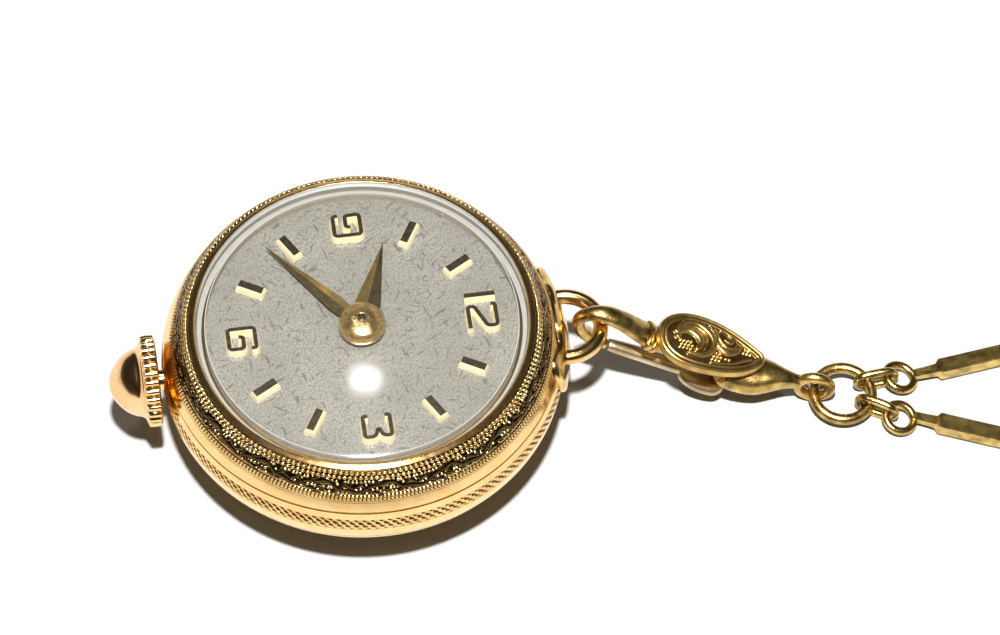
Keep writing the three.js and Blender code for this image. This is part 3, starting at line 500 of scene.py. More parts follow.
chain, CHAIN_ROUTE, CHAIN_LENGTH = make_chain()
LINKS = {
    "end_link_a": torus("oval_link_a", (33.51, -2.97, 0.97), 0.675, 0.6, 0.275, 5, 90, 0, CHAIN),
    "round_link_a": torus("round_ring_a", (35.15, -2.86, 0.66), 0.975, 0, 0.275, 2, 0, 19, CHAIN),
    "end_link_b": torus("oval_link_b", (33.2, -5.13, 0.94), 0.675, 0.6, 0.275, -31, 90, 0, CHAIN),
    "round_link_b": torus("round_ring_b", (34.6, -5.97, 0.66), 0.975, 0, 0.275, -31, 0, 19, CHAIN),
}
for node, piece in LINKS.items():
    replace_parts(piece, node)
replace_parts(chain, "chain_strand_a", "chain_strand_b", "chain_coil")


def make_tie():
    """A thread wound four times round the coil's bundle."""
    shapes = []
    for k in (-0.9, -0.3, 0.3, 0.9):
        low, high, x0, x1 = 0.3, 4.1, 67.05, 76.1
        corners = [[x0, low + 0.5], [x0, high - 0.7], [x0 + 0.7, high], [x1 - 0.7, high],
            [x1, high - 0.7], [x1, low + 0.5],
                   [x1 - 0.6, low], [x0 + 0.6, low], [x0, low + 0.5]]
        path = smooth_profile([[x, COIL[1] + k, z] for x, z in corners], 6)[:-1]
        shapes.append(tube(path, 0.2, 8, True, up=(0, 1, 0)))
    piece = build("coil_tie_thread", *merge(*shapes), THREAD, "chain")
    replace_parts(piece, "coil_tie")
    return piece


tie = make_tie()

# ---- floor and light


def make_stage():
    size = 700.0
    points = [[-size, -size, 0], [size, -size, 0], [size, size, 0], [-size, size, 0]]
    n = Nodes("pale_floor")
    paper = n.noise(350, 4)
    made = n.node("BsdfPrincipled", Base_Color=n.mix(paper, (0.44, 0.44, 0.44), (0.42, 0.42, 0.423)),
        Roughness=0.8)
    floor = build("floor", points, [(0, 1, 2, 3)], n.finish(made.outputs[0]), smooth=False)


LAMP_AIM = Vector((8, 0, 4))


def lamp(name, azimuth, elevation, distance, size, power):
    """A round area light aimed at the watch. Azimuth 0 is behind the camera."""
    data = bpy.data.lights.new(name, "AREA")
    data.shape = "DISK"
    data.size = size * MM
    data.energy = power
    made = bpy.data.objects.new(name, data)
    a, e = AZIMUTH + radians(azimuth), radians(elevation)
    away = Vector((sin(a) * cos(e), -cos(a) * cos(e), sin(e)))
    made.matrix_world = Matrix.Translation((LAMP_AIM + away * distance) * MM) @ away.to_track_quat("Z",
        "Y").to_matrix().to_4x4()
    bpy.context.scene.collection.objects.link(made)


def make_light():
    world = bpy.data.worlds.new("studio")
    world.use_nodes = True
    bpy.context.scene.world = world
    tree = world.node_tree
    tree.nodes.clear()
    place, split, ramp, shift, back, out = (tree.nodes.new("ShaderNode" + kind) for kind in (
        "TexCoord", "SeparateXYZ", "ValToRGB", "Math", "Background", "OutputWorld"))
    shift.operation = "MULTIPLY_ADD"
    shift.inputs[1].default_value, shift.inputs[2].default_value = 0.5, 0.5
    for source, target in ((place.outputs["Generated"], split), (split.outputs[2], shift),
                           (shift.outputs[0], ramp), (ramp.outputs[0], back), (back.outputs[0], out)):
        tree.links.new(source, target.inputs[0])
    stops = [(0.0, 0.95), (0.515, 0.95), (0.54, 0.16), (0.62, 0.05), (0.78, 0.03), (0.92, 0.05),
        (1.0, 0.12)]
    for i, (at, grey) in enumerate(stops):
        stop = ramp.color_ramp.elements[i] if i < 2 else ramp.color_ramp.elements.new(at)
        stop.position, stop.color = at, (grey, grey * 0.97, grey * 0.92, 1)
    lamp("key", 0, 73, 600, 34, 9.0)
    lamp("back", 184, 74.5, 600, 60, 0.34)


make_stage()
make_light()
bpy.context.scene.view_settings.view_transform = "Standard"

# ---- case

CASE_R, CASE_HALF, CASE_MID = 13.08, 7.04, 6.2


def oval(z):
    return CASE_R * sqrt(max(0.0, 1 - ((z - CASE_MID) / CASE_HALF) ** 2))


def oval_run(low, high, count):
    return [[oval(z), z] for z in np.linspace(low, high, count)]


def make_case():
    back = [[0.02, 0.0], *oval_run(0.0, 4.9, 40), [oval(4.9) - 0.03, 4.95], [oval(4.95) - 0.12, 4.97],
        [11.95, 4.97],
            [11.95, 5.4], [11.5, 5.4], [11.5, 4.3], [10.6, 3.4], [8.0, 2.0], [4.5, 1.0], [0.02, 0.75]]
    points, faces = lathe(back)
    # painted shade: the back darkens towards the bottom, so it throws less light into the shadow under the
    # watch
    underside_painted_shade = 0.35 + 0.65 * np.clip((np.asarray(points)[:, 2] - 1.0) / 2.6, 0, 1)
    piece = sharpen(build("case_back_shell", points, faces, BACK_GOLD, "case", colours=underside_painted_shade), 30)
    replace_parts(piece, "case_back")

    # the band leaves room for the stem; its rope-work is a strip of its own
    outside = [[12.0, 5.0], [oval(5.03) - 0.1, 5.0], [oval(5.05) - 0.02, 5.02], *oval_run(5.08, 6.08, 8),
        [oval(6.1) - 0.05, 6.11],
               [oval(7.04) - 0.05, 7.04], *oval_run(7.07, 7.55, 6), [oval(7.6) - 0.03, 7.6],
               [oval(7.62) - 0.1, 7.62]]
    inside = [[12.2, 7.62], [12.2, 6.9], [11.2, 6.9], [11.2, 5.45], [12.0, 5.45], [12.0, 5.0]]
    piece = sharpen(build("case_band", *lathe(outside + inside), GOLD, "case"), 30)
    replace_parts(piece, "case_middle")


def strip(name, profile, start, end, rows, columns, height, material):
    """A thin closed band whose outer face carries relief: height(theta, s) gives its rise in millimetres and
    its painted shade.

    s is the distance along the profile from its first point, and the band covers start to end of it."""
    profile = np.asarray(profile, float)
    run = np.concatenate([[0], np.cumsum(np.linalg.norm(np.diff(profile, axis=0), axis=1))])
    s = np.linspace(start, min(end, run[-1]), rows)
    r, z = np.interp(s, run, profile[:, 0]), np.interp(s, run, profile[:, 1])
    tangent = np.stack([np.gradient(r), np.gradient(z)], 1)
    tangent /= np.linalg.norm(tangent, axis=1)[:, None]
    outward = np.stack([-tangent[:, 1], tangent[:, 0]], 1)
    outward *= np.sign(outward[:, :1] + 1e-9)
    theta = np.arange(columns) * 2 * pi / columns
    rise, painted_dark = height(theta[None, :], s[:, None])
    rise = rise * np.clip(np.minimum(s, run[-1] - s) / 0.03, 0, 1)[:, None]
    radius = r[:, None] + outward[:, :1] * rise
    level = z[:, None] + outward[:, 1:] * rise + 0 * theta[None, :]
    points = np.stack([radius * np.cos(theta), radius * np.sin(theta), level], 2).reshape(-1, 3)
    faces = [f[::-1] for f in grid_faces(rows, columns)]
    # painted shade: the relief's hollows and dark vine are darkened in the point colours
    piece = build(name, points, faces, material, "case", colours=np.clip(1 - painted_dark, 0, 1).ravel())
    return piece


def bump_row(u, t, pitch, half_u, half_t):
    """Height of a row of round-topped beads. u counts beads, t is the distance from the row's middle."""
    along = (u - np.floor(u) - 0.5) * pitch
    d = 1 - (along / half_u) ** 2 - (t / half_t) ** 2
    return np.sqrt(np.clip(d, 0, None))


def hashed(i, j, seed):
    value = np.sin(i * 127.1 + j * 311.7 + seed * 74.7) * 43758.5453
    return value - np.floor(value)


def bezel_relief(theta, s):
    arc = theta / (2 * pi)
    rise, painted_dark = 0 * theta + 0 * s, 0 * theta + 0 * s
    # two bead rows beside the lip, with painted shade in the gaps between beads
    for middle, count, half in ((0.47, 206, 0.17), (0.80, 212, 0.15)):
        t = s - middle
        pitch = 2 * pi * 11.5 / count
        bead = bump_row(arc * count, t, pitch, pitch * 0.42, half * 0.95)
        near = np.abs(t) < half * 1.15
        rise = np.where(near, bead * half * 0.8 - 0.02, rise)
        painted_dark = np.where(near, np.clip(1 - bead * 1.4, 0, 1), painted_dark)
    # granulated ground, with painted shade between the dots
    low, high = 0.96, 2.02
    ground = (s > low) & (s < high)
    size = 0.265
    count = 282
    row = np.floor((s - low) / size)
    col = arc * count + 0.5 * (row % 2)
    cell = np.floor(col) % count
    off_u = (hashed(cell, row, 1) - 0.5) * 0.35
    off_s = (hashed(cell, row, 2) - 0.5) * 0.3
    du = (col - np.floor(col) - 0.5 - off_u) * size
    ds = ((s - low) / size - row - 0.5 - off_s) * size
    keep = hashed(cell, row, 3) > 0.08
    dot = np.sqrt(np.clip(1 - (du ** 2 + ds ** 2) / (0.104 ** 2), 0, None)) * keep
    rise = np.where(ground, dot * 0.105 - 0.035, rise)
    painted_dark = np.where(ground, np.clip(1 - dot * 1.35, 0, 1), painted_dark)
    # a vine painted dark as a reflection of the dark room, that runs through it in a zigzag, with leaves at
    # its bends
    repeats = 18
    phase = arc * repeats
    p = phase - np.floor(phase)
    reach = 2 * pi * 11.9 / repeats
    x = (p - 0.5) * reach
    y = s - (low + high) / 2
    wander = 0.30 * np.cos(2 * pi * p) + 0.07 * np.sin(6 * pi * p)
    thick = 0.13 + 0.06 * np.cos(4 * pi * p) ** 2
    leaf = np.clip(1 - ((y - wander) / thick) ** 2, 0, None)
    for cx, cy, turn, long, wide in (
        (-1.15, 0.12, 0.75, 0.62, 0.15), (1.15, 0.12, -0.75, 0.62, 0.15),
        (-0.52, -0.34, -0.35, 0.5, 0.12), (0.60, -0.30, 0.5, 0.5, 0.12),
        (0.02, 0.20, 0.2, 0.42, 0.12), (-1.78, -0.12, -0.6, 0.5, 0.13), (1.78, -0.12, 0.6, 0.5, 0.13),
        (-0.45, 0.42, 0.3, 0.36, 0.10),
    ):
        a = (x - cx) * cos(turn) + (y - cy) * sin(turn)
        b = -(x - cx) * sin(turn) + (y - cy) * cos(turn)
        taper = np.clip(1 - (a / long) ** 2, 0, None)
        edge = taper * wide
        shape = np.where(np.abs(b) < edge, 1 - (b / np.maximum(edge, 1e-6)) ** 2, 0)
        leaf = np.maximum(leaf, shape * np.sqrt(taper))
    on_leaf = ground & (leaf > 0.02)
    rise = np.where(on_leaf, -0.02 + 0.05 * leaf, rise)
    painted_dark = np.where(on_leaf, 0.93, painted_dark)
    # outer row of upright cuts, with painted shade between them
    t = s - 2.34
    pitch = 2 * pi * 12.3 / 300
    turned = arc * 300 + t * 0.6
    lean = np.abs(turned - np.floor(turned) - 0.5) * pitch
    cut = np.sqrt(np.clip(1 - (lean / (0.34 * pitch)) ** 2, 0,
        None)) * np.clip((0.285 - np.abs(t)) / 0.05, 0, 1)
    broken = np.abs(np.abs(t) - 0.1) < 0.022
    near = np.abs(t) < 0.295
    rise = np.where(near, (cut * 0.08 - 0.02) * np.where(broken, 0.4, 1), rise)
    painted_dark = np.where(near, np.clip(0.95 - cut * 1.5 + 0.5 * broken, 0, 1), painted_dark)
    # grooves with painted shade in them
    for line in (0.28, 0.635, 0.95, 2.035):
        groove = np.clip(1 - np.abs(s - line) / 0.03, 0, 1)
        rise = rise - 0.03 * groove
        painted_dark = np.maximum(painted_dark, 0.85 * groove)
    return rise, painted_dark


def rope_relief(theta, s):
    """Three rows of slanted lens cuts that interlock as a rope, each outlined in painted shadow."""
    arc = theta / (2 * pi)
    rise, painted_dark = 0 * theta + 0 * s, 0 * theta + 0 * s
    count = 150
    lens = 0 * theta + 0 * s
    for k, middle in enumerate((0.175, 0.475, 0.775)):
        u = arc * count + 0.5 * (k % 2)
        along = (u - np.floor(u) - 0.5) * 2 * pi * 13.05 / count
        y = s - middle
        a = along * cos(0.45) + y * sin(0.45)
        b = -along * sin(0.45) + y * cos(0.45)
        edge = 0.135 * np.sqrt(np.clip(1 - (a / 0.285) ** 2, 0, None))
        lens = np.maximum(lens, np.where(np.abs(b) < edge, 1 - (b / np.maximum(edge, 1e-6)) ** 2, 0))
    worked = (s > 0.03) & (s < 0.92)
    rise = np.where(worked, -0.07 + 0.09 * np.sqrt(lens), 0)
    # painted shadow round each lens
    painted_dark = np.where(worked, np.clip(1 - 1.9 * np.sqrt(lens), 0, 1), 0)
    return rise, painted_dark


def make_bezel():
    lip = [[12.15, 7.66], [12.76, 7.66], [12.8, 7.7], [12.53, 8.22], [12.48, 8.30], [11.99, 9.2],
           [11.34, 10.16], [11.12, 10.30], [11.02, 10.36], [11.0, 10.425], [10.93, 10.445],
           [10.86, 10.435], [10.80, 10.38],
           [10.78, 10.30], [10.78, 9.62], [10.18, 9.62], [10.18, 9.56], [10.45, 9.56], [10.45, 8.9],
           [11.9, 8.3], [11.9, 7.0], [12.15, 7.0], [12.15, 7.66]]
    body = sharpen(build("bezel_ring", *lathe(lip), GOLD, "case"), 35)
    slope = [[11.0, 10.425], [11.40, 10.22], [12.05, 9.2], [12.50, 8.28]]
    strip("bezel_beads", slope, 0.0, 0.955, 40, 2400, bezel_relief, ENGRAVED)
    strip("bezel_engraving", slope, 0.945, 2.66, 41, 2400, bezel_relief, ENGRAVED)
    strip("band_rope_work", [[oval(z), z] for z in np.linspace(7.06, 6.09, 12)], 0.0, 0.955, 30, 2400,
        rope_relief, ENGRAVED)
    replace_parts(body, "bezel")


make_case()
make_bezel()

# ---- crystal


def make_crystal():
    outer = 10.74
    over = [[r, 10.75 + 1.55 * (1 - (r / outer) ** 2)] for r in np.linspace(0.02, 10.55, 28)]
    dome = over + [[10.66, 10.73], [outer, 10.66], [outer, 10.1]]
    top = build("crystal_dome", *lathe(dome), CRYSTAL, "case")
    wall = [[10.16, 9.6], [10.12, 9.6], [10.1, 10.24], [10.16, 10.24], [10.16, 9.6]]
    edge = sharpen(build("crystal_wall", *lathe(wall), CRYSTAL_EDGE, "case"), 30)
    rim = [[10.38, 9.635], [10.745, 9.635], [10.745, 10.2], [10.765, 10.2], [10.765, 9.6], [10.38, 9.6],
        [10.38, 9.635]]
    sharpen(build("crystal_rim", *lathe(rim), RIM, "case"), 30)
    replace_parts(top, "crystal")


make_crystal()

# ---- dial

DIAL_TOP = 9.5
MARK_R = 7.8
MARK_RISE = 0.54
NUMERALS = {
    12: [([(-1.3, 1.0), (-1.3, -1.0)], 0.62),
         ([(-0.5, 0.62), (-0.46, 0.9), (1.16, 0.9), (1.16, 0.25), (-0.4, -0.45), (-0.42, -0.88),
         (1.25, -0.88)], 0.5)],
    3: [([(-0.82, 0.55), (-0.80, 0.87), (0.78, 0.87), (0.72, 0.3), (0.1, 0.06), (0.76, -0.2),
    (0.78, -0.87), (-0.80, -0.87),
          (-0.82, -0.55)], 0.5)],
    6: [([(0.80, 0.55), (0.77, 0.87), (-0.77, 0.87), (-0.77, -0.87), (0.77, -0.87), (0.77, 0.08),
    (-0.1, 0.08), (-0.16, -0.2)], 0.5)],
    9: [([(-0.80, -0.55), (-0.77, -0.87), (0.77, -0.87), (0.77, 0.87), (-0.77, 0.87), (-0.77, -0.08),
    (0.1, -0.08), (0.16, 0.2)], 0.5)],
}


def rounded(path, radius=0.24):
    """A polyline whose inner corners are rounded."""
    path = [np.asarray(p, float) for p in path]
    out = [path[0]]
    for a, b, c in zip(path, path[1:], path[2:]):
        into, away = b - a, c - b
        r = min(radius, 0.45 * np.linalg.norm(into), 0.45 * np.linalg.norm(away))
        start, end = b - into / np.linalg.norm(into) * r, b + away / np.linalg.norm(away) * r
        for t in np.linspace(0, 1, 6):
            out.append((1 - t) ** 2 * start + 2 * t * (1 - t) * b + t * t * end)
    return np.array(out + [path[-1]])


def stroke(path, width, rise, top=0.54):
    """A raised stroke with steep sides and a narrower flat top.

    Returns points, faces and which faces are the top."""
    path = np.asarray(path, float)
    tangents = np.gradient(path, axis=0)
    tangents /= np.linalg.norm(tangents, axis=1)[:, None]
    normal = np.stack([-tangents[:, 1], tangents[:, 0]], 1)
    section = [(-1, -0.04), (-0.80, rise * 0.55), (-top, rise), (top, rise), (0.80, rise * 0.55),
        (1, -0.04)]
    ring = []
    for p, nrm in zip(path, normal):
        ring += [[*(p + nrm * width / 2 * a), h] for a, h in section]
    faces, upper = [], []
    for i in range(len(path) - 1):
        for j in range(5):
            faces.append((i * 6 + j, (i + 1) * 6 + j, (i + 1) * 6 + j + 1, i * 6 + j + 1))
            upper.append(1 if j == 2 else 0)
        faces.append((i * 6 + 5, (i + 1) * 6 + 5, (i + 1) * 6, i * 6))
        upper.append(0)
    last = (len(path) - 1) * 6
    faces += [tuple(range(6)), tuple(last + j for j in range(6))[::-1]]
    upper += [0, 0]
    return np.array(ring), faces, upper


def bar_mark():
    """An hour bar: a flat top painted dark as a reflection, with sloping sides all round. Returns what
    stroke() does.
    """
    levels = ((0.96, 0.42, -0.04), (0.92, 0.36, MARK_RISE * 0.55), (0.83, 0.25, MARK_RISE))
    points = [[sx * a, sy * b, h] for a, b, h in levels for sx, sy in ((-1, -1), (1, -1), (1, 1), (-1, 1))]
    faces = [(4 * k + j, 4 * k + (j + 1) % 4, 4 * k + 4 + (j + 1) % 4, 4 * k + 4 + j) for k in (0,
        1) for j in range(4)]
    return np.array(points), faces + [(3, 2, 1, 0), (8, 9, 10, 11)], [0] * 9 + [1]


def make_dial():
    face = [[0.85, 9.2], [10.3, 9.2], [10.3, 9.46], [10.26, DIAL_TOP], [10.0, DIAL_TOP], [6.0, DIAL_TOP],
        [3.0, DIAL_TOP],
            [0.85, DIAL_TOP], [0.85, 9.2]]
    dial = sharpen(build("dial_face", *lathe(face), DIAL, "case"), 30)
    points, faces, index = [], [], []
    start = 0
    for hour in range(1, 13):
        angle = radians(-30 * hour)
        centre = MARK_R * np.array([cos(angle), sin(angle)])
        if hour in NUMERALS:
            shapes = [stroke(rounded(p), w, MARK_RISE) for p, w in NUMERALS[hour]]
            turn = -pi / 2
        else:
            shapes = [bar_mark()]
            turn = angle
        c, s = cos(turn), sin(turn)
        for p, f, upper in shapes:
            xy = p[:, :2] @ np.array([[c, s], [-s, c]]) + centre
            points.append(np.column_stack([xy, p[:, 2] + DIAL_TOP]))
            faces += [tuple(i + start for i in face_) for face_ in f]
            index += upper
            start += len(p)
    # the marks: sides in painted glare, tops in painted dark reflection
    marks = build("dial_marks", np.concatenate(points), faces, [MARK_SIDE_PAINTED_GLARE, PAINTED_DARK_GOLD], "case", False,
        index=index)
    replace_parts(dial, "dial")


make_dial()

# ---- hands


def dauphine(length, width, low, ridge, boss, hole):
    """A hand with two sloping faces that meet in a ridge, and a round boss with a hole."""
    widest = 0.28 * length
    side = [(boss * 0.55, 0.42 * width), (widest, 0.5 * width), (length * 0.999, 0.012)]
    points, faces = [], []
    for x, half in side:
        points += [[x, -half, low], [x, -half, low + 0.03],
            [x, 0, low + ridge * (1 if x < length * 0.9 else 0.35)], [x, half, low + 0.03], [x, half, low]]
    for i in range(len(side) - 1):
        for j in range(5):
            faces.append((i * 5 + j, (i + 1) * 5 + j, (i + 1) * 5 + (j + 1) % 5, i * 5 + (j + 1) % 5))
    faces += [tuple(range(5)), tuple((len(side) - 1) * 5 + j for j in range(5))[::-1]]
    blade = (np.array(points), faces)
    ring = [[hole, low], [boss, low], [boss, low + 0.1], [boss - 0.06, low + 0.14], [hole, low + 0.14],
        [hole, low]]
    return merge(blade, lathe(ring, 96))


def turned_by(shape, degrees):
    points, faces = shape
    c, s = cos(radians(degrees)), sin(radians(degrees))
    points = np.array(points, float)
    points[:, :2] = points[:, :2] @ np.array([[c, s], [-s, c]])
    return points, faces


def make_hands():
    hour = sharpen(build("hour_hand_blade", *turned_by(dauphine(6.6, 1.7, 9.74, 0.24, 1.25, 0.77), -289),
        HANDS, "hour"), 12)
    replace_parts(hour, "hour_hand")
    minute = sharpen(build("minute_hand_blade", *turned_by(dauphine(8.7, 1.15, 10.12, 0.2, 1.3, 0.55),
        -231), HANDS, "hands"), 12)
    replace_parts(minute, "minute_hand")
    dome = smooth_profile([[0.27, 10.72], [0.28, 10.94], [0.34, 10.985], [0.75, 10.95], [0.97, 10.88],
        [1.28, 10.72], [1.42, 10.55],
                           [1.49, 10.3], [1.5, 10.05]], 6).tolist()
    hub = sharpen(build("hand_hub",
        *lathe([[0.02, 10.7]] + dome + [[1.52, 10.04], [1.52, 9.9], [1.3, 9.9], [1.3, 10.3],
        [0.02, 10.3]], 160),
                        HUB, "hands"), 40)
    # the pivot in the hub's hole is painted dark as shade
    pivot = build("hand_pivot", *lathe([[0.02, 10.86], [0.2, 10.86], [0.268, 10.8], [0.268, 10.6],
        [0.02, 10.6]], 48), PAINTED_DARK_GOLD, "hands")


make_hands()

# ---- crown

STEM_Z = 6.3


def on_stem(points):
    """Turns a lathe about +Z into one about the stem, with height running out along -X."""
    p = np.asarray(points, float)
    return np.column_stack([-p[:, 2], p[:, 1], p[:, 0] + STEM_Z])


def make_crown():
    face = 13.35
    ring = [[0.8, face], [2.62, face], [2.72, face + 0.04], [2.86, face + 0.12], [2.88, face + 0.5],
        [2.86, face + 0.88],
            [2.74, face + 0.97], [2.66, face + 1.0], [1.2, face + 1.0], [0.8, face + 0.6]]
    strength = [0, 0, 0.4, 1, 1, 1, 0.4, 0, 0, 0]

    def flute(angles, row):
        ridge = np.abs(np.cos(angles * 15)) ** 0.8
        return strength[row] * (0.12 - 0.26 * (1 - ridge) ** 1.2)

    ring.append(ring[0])
    strength.append(0)
    points, faces = lathe(ring, 480, flute)
    dome = smooth_profile([[2.7, 14.34], [2.62, 14.40], [2.42, 14.5], [2.26, 14.68], [2.2, 14.95],
        [1.95, 15.45], [1.6, 15.85],
                           [1.1, 16.24], [0.6, 16.5], [0.02, 16.6]], 5).tolist()
    dome_points, dome_faces = lathe([[0.02, 14.3], [2.66, 14.3]] + dome, 160)
    flutes = sharpen(build("crown_flutes", on_stem(points), faces, GOLD, "stem"), 50)
    knob = sharpen(build("crown_dome", on_stem(dome_points), dome_faces, ROSE, "stem"), 50)
    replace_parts(flutes, "crown")
    neck, neck_faces = lathe([[0.43, 11.9], [0.7, 11.9], [0.7, 13.66], [0.66, 13.7], [0.43, 13.7],
        [0.43, 11.9]], 96)
    piece = sharpen(build("crown_neck", on_stem(neck), neck_faces, GOLD, "case"), 40)
    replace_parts(piece, "crown_tube")


make_crown()

# ---- bow


def make_bow():
    reach, centre_x, z = 2.35, 13.25, 7.0
    half = [[centre_x + reach * cos(a), reach * sin(a), z] for a in np.linspace(-pi / 2,
        pi / 2, 40)]
    legs = [[x, -reach, z] for x in (12.85, 13.0, 13.12)]
    path = legs + half + [[x, reach, z] for x in (13.12, 13.0, 12.85)]
    wire, wire_faces = tube(path, 0.5, 28)
    # the saddle: a plate bent round the case, with a flared end at each side
    columns, rows, half_angle = 61, 13, 20.5
    angles = np.linspace(-half_angle, half_angle, columns)
    top = []
    for layer, lift in ((0, 0.02), (1, 0.40)):
        for i in range(rows):
            for a in angles:
                t = abs(a) / half_angle
                spread = 1.28 + 0.18 * exp(-((t - 0.80) / 0.16) ** 2)
                spread -= 0.30 * exp(-((t - 0.42) / 0.18) ** 2)
                spread *= sqrt(max(0.0, 1 - max(0.0, (t - 0.82) / 0.18) ** 2)) if t > 0.82 else 1.0
                v = (i / (rows - 1)) * 2 - 1
                z_here = 7.0 + v * max(spread, 0.03)
                edge = 1 - 0.5 * (abs(v) ** 6) - 0.35 * max(0.0, (t - 0.86) / 0.14) ** 2
                r = oval(z_here) + (lift * edge if layer else lift)
                rad = radians(a)
                top.append([r * cos(rad), r * sin(rad), z_here])
    per = rows * columns
    faces = [f for f in grid_faces(rows, columns, False, per)]
    faces += [f[::-1] for f in grid_faces(rows, columns, False)]
    rim = [(0, j) for j in range(columns)] + [(i, columns - 1) for i in range(1, rows)]
    rim += [(rows - 1, j) for j in range(columns - 2, -1, -1)] + [(i, 0) for i in range(rows - 2, 0, -1)]
    for (i, j), (k, m) in zip(rim, rim[1:] + rim[:1]):
        faces.append((i * columns + j, k * columns + m, per + k * columns + m, per + i * columns + j))
    piece = build("bow_loop", *merge((wire, wire_faces), (np.array(top), faces)), BOW_GOLD, "case")
    sharpen(piece, 40)
    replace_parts(piece, "bow")


make_bow()

# ---- clasp

CLASP_TURN = np.array(Matrix.Rotation(radians(-13.4), 3, "Z") @ Matrix.Rotation(radians(22.7),
    3, "Y"))
CLASP_AT = np.array([15.6, -0.05, 7.0])
GATE_PIVOT = (10.1, -1.1)
EYE_AT, EYE_R, EYE_WIRE = (15.15, 0.35), 1.05, 0.36


def on_clasp(points):
    """From the clasp's own axes (along, aside, across) to the watch's."""
    return np.asarray(points, float) @ CLASP_TURN.T + CLASP_AT


def swept(stations, aside=0.0, sides=28, steps=7, power=2.0):
    """A smooth solid of oval sections: [along, across, half width, half height].

    power above 2 squares the section."""
    st = smooth_profile(stations, steps)
    tangent = np.gradient(st[:, :2], axis=0)
    tangent /= np.linalg.norm(tangent, axis=1)[:, None]
    angle = (np.arange(sides) + 0.5) * 2 * pi / sides
    c, s = np.cos(angle), np.sin(angle)
    round_c, round_s = np.sign(c) * np.abs(c) ** (2 / power), np.sign(s) * np.abs(s) ** (2 / power)
    rise = st[:, 3][:, None] * round_s[None]
    points = np.stack([st[:, 0][:, None] - tangent[:, 1][:, None] * rise,
        aside + st[:, 2][:, None] * round_c[None],
                       st[:, 1][:, None] + tangent[:, 0][:, None] * rise], 2).reshape(-1, 3)
    faces = [f[::-1] for f in grid_faces(len(st), sides)]
    faces += [tuple(range(sides)), tuple((len(st) - 1) * sides + j for j in range(sides))[::-1]]
    return points, faces


def extruded(outline_points, low, high):
    """A side view given as [along, across] points, as thick as the limits aside."""
    n = len(outline_points)
    points = [[u, low, w] for u, w in outline_points] + [[u, high, w] for u, w in outline_points]
    faces = [tuple(range(n)), tuple(range(n, 2 * n))[::-1]]
    faces += [(i, n + i, n + (i + 1) % n, (i + 1) % n) for i in range(n)]
    return np.array(points), faces


def make_clasp_body():
    hook = swept([
        [3.9, 0.0, 0.95, 0.5], [3.3, 0.22, 0.95, 0.52], [2.6, 0.45, 0.88, 0.5], [1.4, 0.88, 0.76, 0.5],
        [0.4, 1.1, 0.70, 0.49],
        [-0.45, 1.01, 0.61, 0.48], [-1.1, 0.58, 0.48, 0.46], [-1.4, -0.1, 0.42, 0.45],
        [-1.22, -0.85, 0.42, 0.43],
        [-0.7, -1.45, 0.45, 0.42], [0, -1.85, 0.42, 0.4], [0.7, -2.0, 0.4, 0.38],
        [1.2, -2.03, 0.36, 0.34], [1.3, -2.03, 0.2, 0.2],
    ])
    collars = [swept([[3.0, 0.34, 0.75, 0.4], [3.08, 0.30, 1.06, 0.6], [3.3, 0.24, 1.1, 0.63],
        [3.42, 0.17, 1.04, 0.58], [3.48, 0.1, 0.8, 0.4]]),
               swept([[3.5, 0.15, 0.75, 0.4], [3.56, 0.12, 1.0, 0.56], [3.75, 0.06, 1.04, 0.58],
               [3.9, 0.0, 0.9, 0.5]])]
    bar = swept([[3.3, 0.05, 0.66, 0.4], [5.0, 0.03, 0.68, 0.44], [8.0, 0.02, 0.7, 0.46],
        [10.4, 0.02, 0.68, 0.46]], power=4)
    tail = swept([
        [8.85, -0.5, 1.05, 0.66], [9.0, -0.55, 1.36, 0.88], [9.5, -0.56, 1.47, 0.95],
        [10.4, -0.52, 1.5, 0.98], [11.3, -0.35, 1.4, 0.95],
        [12.2, -0.05, 1.05, 0.85], [13.0, 0.18, 0.7, 0.65], [13.7, 0.29, 0.5, 0.5],
        [14.1, 0.33, 0.46, 0.46],
    ], power=2.3)
    t = np.arange(72) * 2 * pi / 72
    ring = np.stack([EYE_AT[0] + EYE_R * np.cos(t), 0 * t, EYE_AT[1] + EYE_R * np.sin(t)], 1)
    eye = tube(ring, EYE_WIRE, 20, True, up=(0, 1, 0))
    points, faces = merge(hook, *collars, bar, tail, eye)
    piece = build("clasp_hook", on_clasp(points), faces, AGED, "clasp")
    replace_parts(sharpen(piece, 50), "clasp_body")
    pin = lathe([[0.02, -1.5], [0.18, -1.5], [0.22, -1.45], [0.22, 1.45], [0.18, 1.5], [0.02, 1.5]], 32)
    pin_points = np.column_stack([pin[0][:, 0] + GATE_PIVOT[0], pin[0][:, 2] * 0.8,
        pin[0][:, 1] + GATE_PIVOT[1]])
    rivet = build("clasp_rivet", on_clasp(pin_points), pin[1], WORN, "clasp")
    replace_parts(sharpen(rivet, 40), "clasp_pin")


